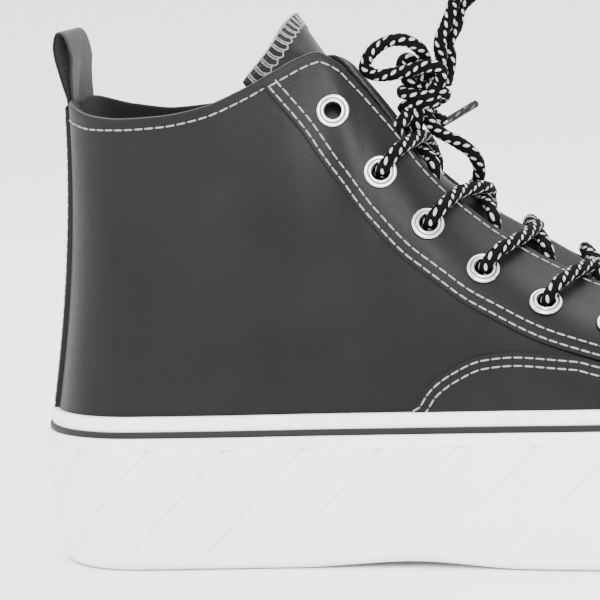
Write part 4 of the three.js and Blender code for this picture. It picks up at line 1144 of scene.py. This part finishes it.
STITCH_LENGTH, STITCH_WIDTH, STITCH_LIFT = 2.95, 0.62, 0.04
STITCH = np.array([(k, r * np.cos(a), r * np.sin(a))
                   for k, r in ((0, 0.35), (0.14, 0.9), (0.86, 0.9), (1.0, 0.35))
                   for a in np.linspace(0, 2 * np.pi, 7)[:-1]])
STITCH_FACES = np.concatenate([grid_faces(4, 6, wrap_cols=True),
                               [[0, 1, 2, 3], [0, 3, 4, 5], [21, 20, 19, 18], [23, 22, 21, 18]]])


def stitch_row(line, normal):
    """Stitches along a line that lies on a surface: each a short rounded bar, half sunk."""
    walk = walked(line)
    at = np.arange(STITCH_PITCH / 2, walk[-1] - STITCH_PITCH / 2, STITCH_PITCH)
    a, b = [at_walk(at + way * STITCH_LENGTH / 2, walk, line) for way in (-1, 1)]
    n = unit(at_walk(at, walk, normal))
    side = unit(np.cross(n, unit(b - a)))
    p = (a[:, None] + (b - a)[:, None] * STITCH[None, :, :1]
         + side[:, None] * STITCH[None, :, 1:2] * STITCH_WIDTH / 2
         + n[:, None] * (STITCH[None, :, 2:3] * STITCH_WIDTH * 0.45 + STITCH_LIFT))
    f = (STITCH_FACES[None] + (np.arange(len(at)) * len(STITCH))[:, None, None]).reshape(-1, 4)
    return p.reshape(-1, 3), f


def on_surface(q, u, out):
    """Line on the worn surface with its normals."""
    return off_skin(q, u, out), outward(q, u)


def inset_line(q, u, inward_mm, toward_u):
    """Line beside an overlay's edge, moved inwards in the surface."""
    line, normal = on_surface(q, u, OVERLAY)
    t = heading(line)
    side = np.cross(normal, t)
    inner = off_skin(q, np.clip(u + toward_u * 0.03, 0, 1), OVERLAY) - line
    side = side * np.sign((side * inner).sum(-1, keepdims=True))
    return line + side * inward_mm, normal


rows = []
for sign in (-1, 1):
    q = sign * np.linspace(0.012, 0.356, 200)
    drop = np.interp(np.abs(q), [0, 0.07, 0.15, 0.4], [6.0, 4.2, 2.7, 2.5])
    line, normal = on_surface(q, 1 - share(q, drop), 0.02)
    keep = np.abs(q) > STRIP_WIDTH * 0.42 / SIDE["outer"]
    rows.append(stitch_row(line[keep], normal[keep]))  # collar
    q = sign * np.linspace(0.349, 0.995, 420)
    rows.append(stitch_row(*inset_line(q, 1 - share(q, THROAT_INSET), 2.5, -1)))  # throat
    q = sign * np.linspace(0.347, 0.995, 520)
    rows += [stitch_row(*inset_line(q, eyestay_foot(q), inward, 1)) for inward in (1.5, 4.3)]
    q = sign * np.linspace(0.459, 0.70, 220)
    rows += [stitch_row(*inset_line(q, vamp_top(q), inward, -1)) for inward in (1.7, 4.2)]
    u = np.linspace(0.01, 0.97, 160)
    for inward in (1.6, 3.8):  # back strip
        q = sign * (strip_half(u) * STRIP_WIDTH - inward) / SIDE["outer"]
        rows.append(stitch_row(*on_surface(q, u, OVERLAY)))
finish(put_mesh("leather_stitches", *joined(rows), [thread]), "upper_leather")


OVERLOCK_ARCH = np.array([
    (-1.95, -1, -0.6), (-1.4, -0.86, 0.05), (-1.12, -0.5, 0.62), (-0.95, 0, 1), (-1.12, 0.5, 0.62),
    (-1.4, 0.86, 0.05), (-1.95, 1, -0.6)]) * [12, 24, 12]


def overlock():
    """Threads pressed onto the tongue at its top edge: a straight one along the edge, a wavy one
    4.7 mm in and rungs between them."""
    corner = skin(np.array([-0.41]), np.array([1.0]))[0] * [1, 0, 1]
    rim_line = resample(spline(corner + OVERLOCK_ARCH, 16), 0.4)
    tree = BVHTree.FromObject(tongue_skin, bpy.context.evaluated_depsgraph_get())

    def pressed(points, lift):
        found = [tree.find_nearest(Vector(point * MM))[:2] for point in points + [0.6, 0, 0.5]]
        return np.array([np.array(at) / MM + np.array(normal) * lift for at, normal in found])

    along = heading(rim_line)
    down = np.array([0.54, 0, -0.84])
    inwards = unit(down - along * (along @ down)[:, None])
    tubes = []
    for k in sorted([*range(4, len(rim_line) - 5, 8), *range(6, len(rim_line) - 5, 8)]):
        rung = [rim_line[k] - inwards[k] * 0.2 + [0.3, 0, 0.3], rim_line[k] + inwards[k] * 1.6,
                rim_line[k] + inwards[k] * 3.2, rim_line[k + 2] + inwards[k + 2] * 4.8]
        rung = resample(spline(rung, 6), 0.5)
        tubes.append(tube_arrays(pressed(rung, 0.12), 0.26, sides=6))
    wave = 4.7 + 0.45 * np.sin(np.arange(len(rim_line)) * 2 * np.pi / 8)
    for reach in (0.1 + 0 * wave, wave):
        path = pressed(rim_line + inwards * reach[:, None], 0.14)
        tubes.append(tube_arrays(path[2:-2], 0.28, sides=6))
    return tubes_piece("tongue_overlock", tubes, grey_thread)


finish(overlock(), "upper_leather")


# Light and floor

def area_light(name, place, target, size, power):
    data = bpy.data.lights.new(name, "AREA")
    data.shape = "RECTANGLE"
    data.size, data.size_y = size
    data.energy = power
    lamp = put_object(name, data)
    lamp.location = place
    way = Vector(target) - Vector(place)
    lamp.rotation_euler = way.to_track_quat("-Z", "Y").to_euler()


area_light("key", (0.35, -1.25, 0.75), (0, 0, 0.07), (0.6, 0.6), 26.0)
area_light("side", (-1.0, -0.7, 0.8), (0, 0, 0.09), (0.6, 0.8), 6.5)
area_light("top", (0.1, 0.35, 1.3), (0, 0, 0.08), (1.2, 0.8), 16.0)
world = bpy.data.worlds.new("studio")
world.use_nodes = True
world.node_tree.nodes["Background"].inputs["Color"].default_value = (1, 1, 1, 1)
world.node_tree.nodes["Background"].inputs["Strength"].default_value = 2.7
bpy.context.scene.world = world
floor_material = new_material("pale_floor", (0.95, 0.95, 0.95), 0.9)[0]
floor_mesh = bpy.data.meshes.new("floor")
floor_mesh.from_pydata([(-9, -9, 0), (9, -9, 0), (9, 9, 0), (-9, 9, 0)], [], [(0, 1, 2, 3)])
floor_mesh.materials.append(floor_material)
put_object("floor", floor_mesh)
